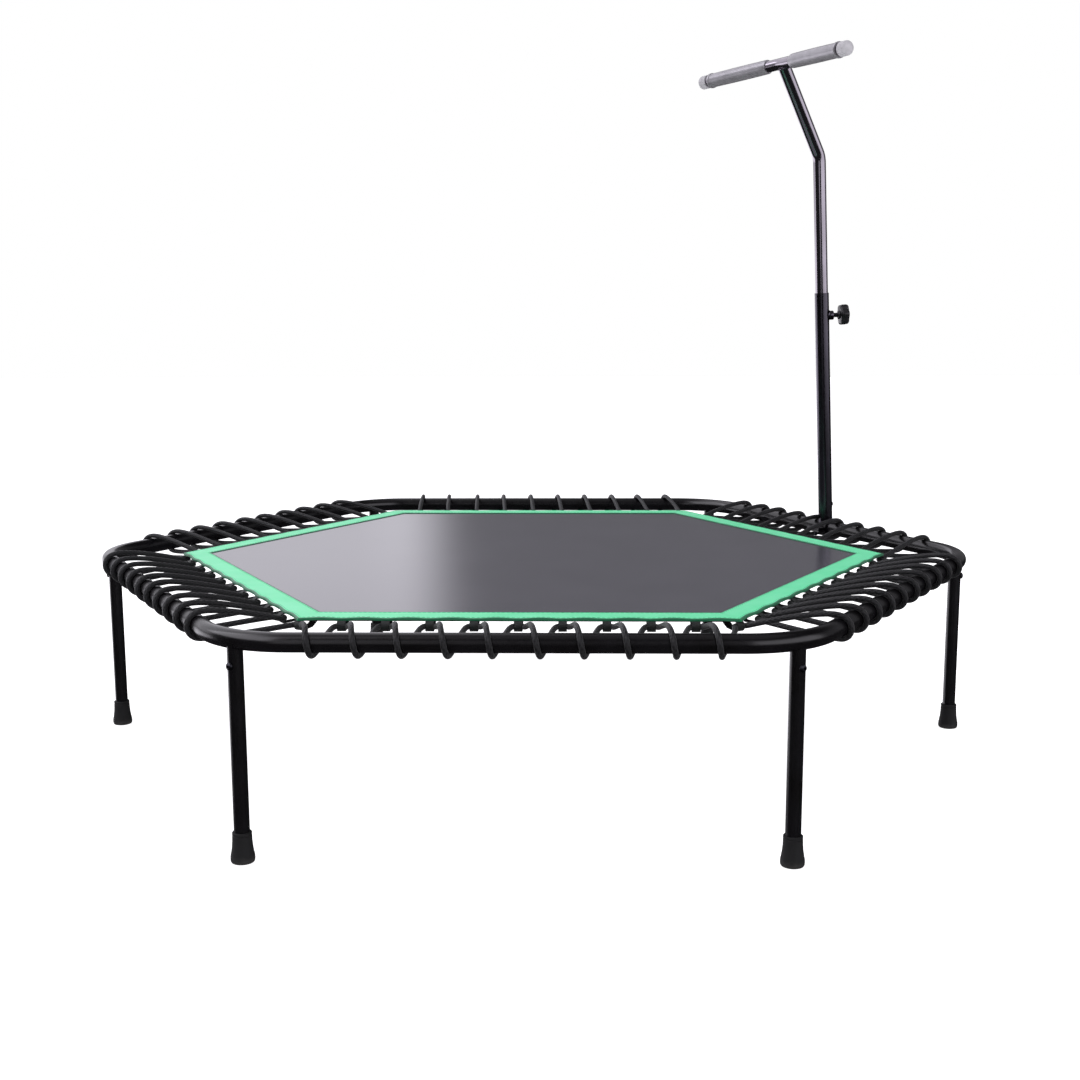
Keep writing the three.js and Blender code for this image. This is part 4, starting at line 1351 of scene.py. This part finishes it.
# %% Camera, floor and light
LENS, SENSOR = 47.1, 36.0
CAMERA_PLACE = (0.0782, -2.2726, 0.6846)
YAW, PITCH, ROLL = (radians(angle) for angle in (-1.604, 9.296, -0.214))
FLOOR_HALF = 12

camera_data = bpy.data.cameras.new("camera")
camera_data.lens, camera_data.sensor_width = LENS, SENSOR
camera = link(bpy.data.objects.new("camera", camera_data))
camera.matrix_world = (
    Matrix.Translation(CAMERA_PLACE) @ Matrix.Rotation(-YAW, 4, "Z")
    @ Matrix.Rotation(pi / 2 - PITCH, 4, "X") @ Matrix.Rotation(ROLL, 4, "Z"))
bpy.context.scene.camera = camera
bpy.context.scene.view_settings.view_transform = "Standard"

ground = make_piece("floor", [(x * FLOOR_HALF, y * FLOOR_HALF, 0) for x, y in (
    (-1, -1), (1, -1), (1, 1), (-1, 1))], [(0, 1, 2, 3)])
paint(ground, start_material("pale_floor", 0.9, "#f4f4f4", Emission_Strength=0.85,
                            Emission_Color=(1, 1, 1, 1))[0])
ground.visible_glossy = False


def soft_light(name, place, target, size, power):
    """A square light that sends its power towards a target."""
    data = bpy.data.lights.new(name, "AREA")
    data.shape, data.size, data.energy = "SQUARE", size, power
    light = link(bpy.data.objects.new(name, data))
    facing = (Vector(target) - Vector(place)).to_track_quat("-Z", "Y")
    light.matrix_world = Matrix.Translation(place) @ facing.to_matrix().to_4x4()
    light.visible_glossy = False


soft_light("overhead", (0.0, -0.4, 3.4), (0, 0, 0.3), 3.0, 44)
soft_light("key_left", (-2.6, -1.8, 2.0), (0, 0, 0.3), 1.2, 16)
soft_light("key_right", (2.6, -2.0, 1.9), (0, 0, 0.5), 1.2, 16)

# %% [markdown]
# ## The room
# Glossy surfaces show the room, so it needs dark parts as much as bright ones. To the camera the room is
# plain white. To everything else it is a dim grey, with soft panels that only show in reflections. Each
# is a stretch of azimuth, in degrees from +Y towards +X, and of height, from 0 at the horizon to 1.

# %% Room
world = bpy.data.worlds.new("room")
bpy.context.scene.world = world
world.use_nodes = True
room = world.node_tree


def vector_node(operation, *inputs):
    return add_node(room, "ShaderNodeVectorMath", dict(enumerate(inputs)), operation=operation)


def panel(direction, azimuth, half_width, low, high, strength, soft=0.03):
    """Brightness of one panel by direction, with soft edges."""
    toward = (sin(radians(azimuth)), cos(radians(azimuth)), 0.0)
    level = vector_node("MULTIPLY", direction, (1, 1, 0))
    flat = vector_node("NORMALIZE", level)
    aim = vector_node("DOT_PRODUCT", flat, toward).outputs["Value"]
    wide = cos(radians(half_width))
    height = split(room, direction)["Z"]
    value = strength
    for source, first, last in ((aim, wide - soft / 2, wide + soft / 2), (height, low - 0.04, low + 0.04),
                                (height, high + 0.1, high - 0.1)):
        mask = add_node(room, "ShaderNodeMapRange", {"Value": source, "From Min": first, "From Max": last},
                        interpolation_type="SMOOTHSTEP")
        value = math_node(room, "MULTIPLY", mask, value)
    return value


looking = add_node(room, "ShaderNodeTexCoord").outputs["Generated"]
ray = add_node(room, "ShaderNodeLightPath").outputs
shown = 0.03
for azimuth, half_width, low, high, power in (
        (-43.6, 37.7, 0.1, 0.9, 1.3),  # behind on the left, for the mat
        (-43.6, 37.7, -0.3, 0.02, 2.2),  # below it, for the rail's side
        (40, 48, 0.0, 0.5, 0.16),  # behind on the right, dim
        (127, 39, -0.05, 0.6, 1.7),  # in front on the right
        (-164, 5, -0.05, 0.6, 1.6),  # in front, narrow, for the tubes
        (-110, 42, 0.38, 0.9, 3.0),  # high on the left
        (0, 180, 0.85, 1.4, 0.25)):  # the ceiling
    shown = math_node(room, "ADD", panel(looking, azimuth, half_width, low, high, power), shown)
mirrored = math_node(room, "MULTIPLY", ray["Is Glossy Ray"], shown)
lighting = math_node(room, "MULTIPLY", math_node(room, "SUBTRACT", 1.0, ray["Is Glossy Ray"]), 0.5)
unseen = math_node(room, "ADD", mirrored, lighting)
strength = add_node(room, "ShaderNodeMix", {"Factor": ray["Is Camera Ray"], 2: unseen, 3: 1.0})
tint = add_node(room, "ShaderNodeMix", {
    "Factor": ray["Is Camera Ray"], 6: (0.95, 0.93, 1, 1), 7: (1, 1, 1, 1)}, data_type="RGBA")
background = room.nodes["Background"].inputs
room.links.new(strength.outputs[0], background["Strength"])
room.links.new(tint.outputs[2], background["Color"])
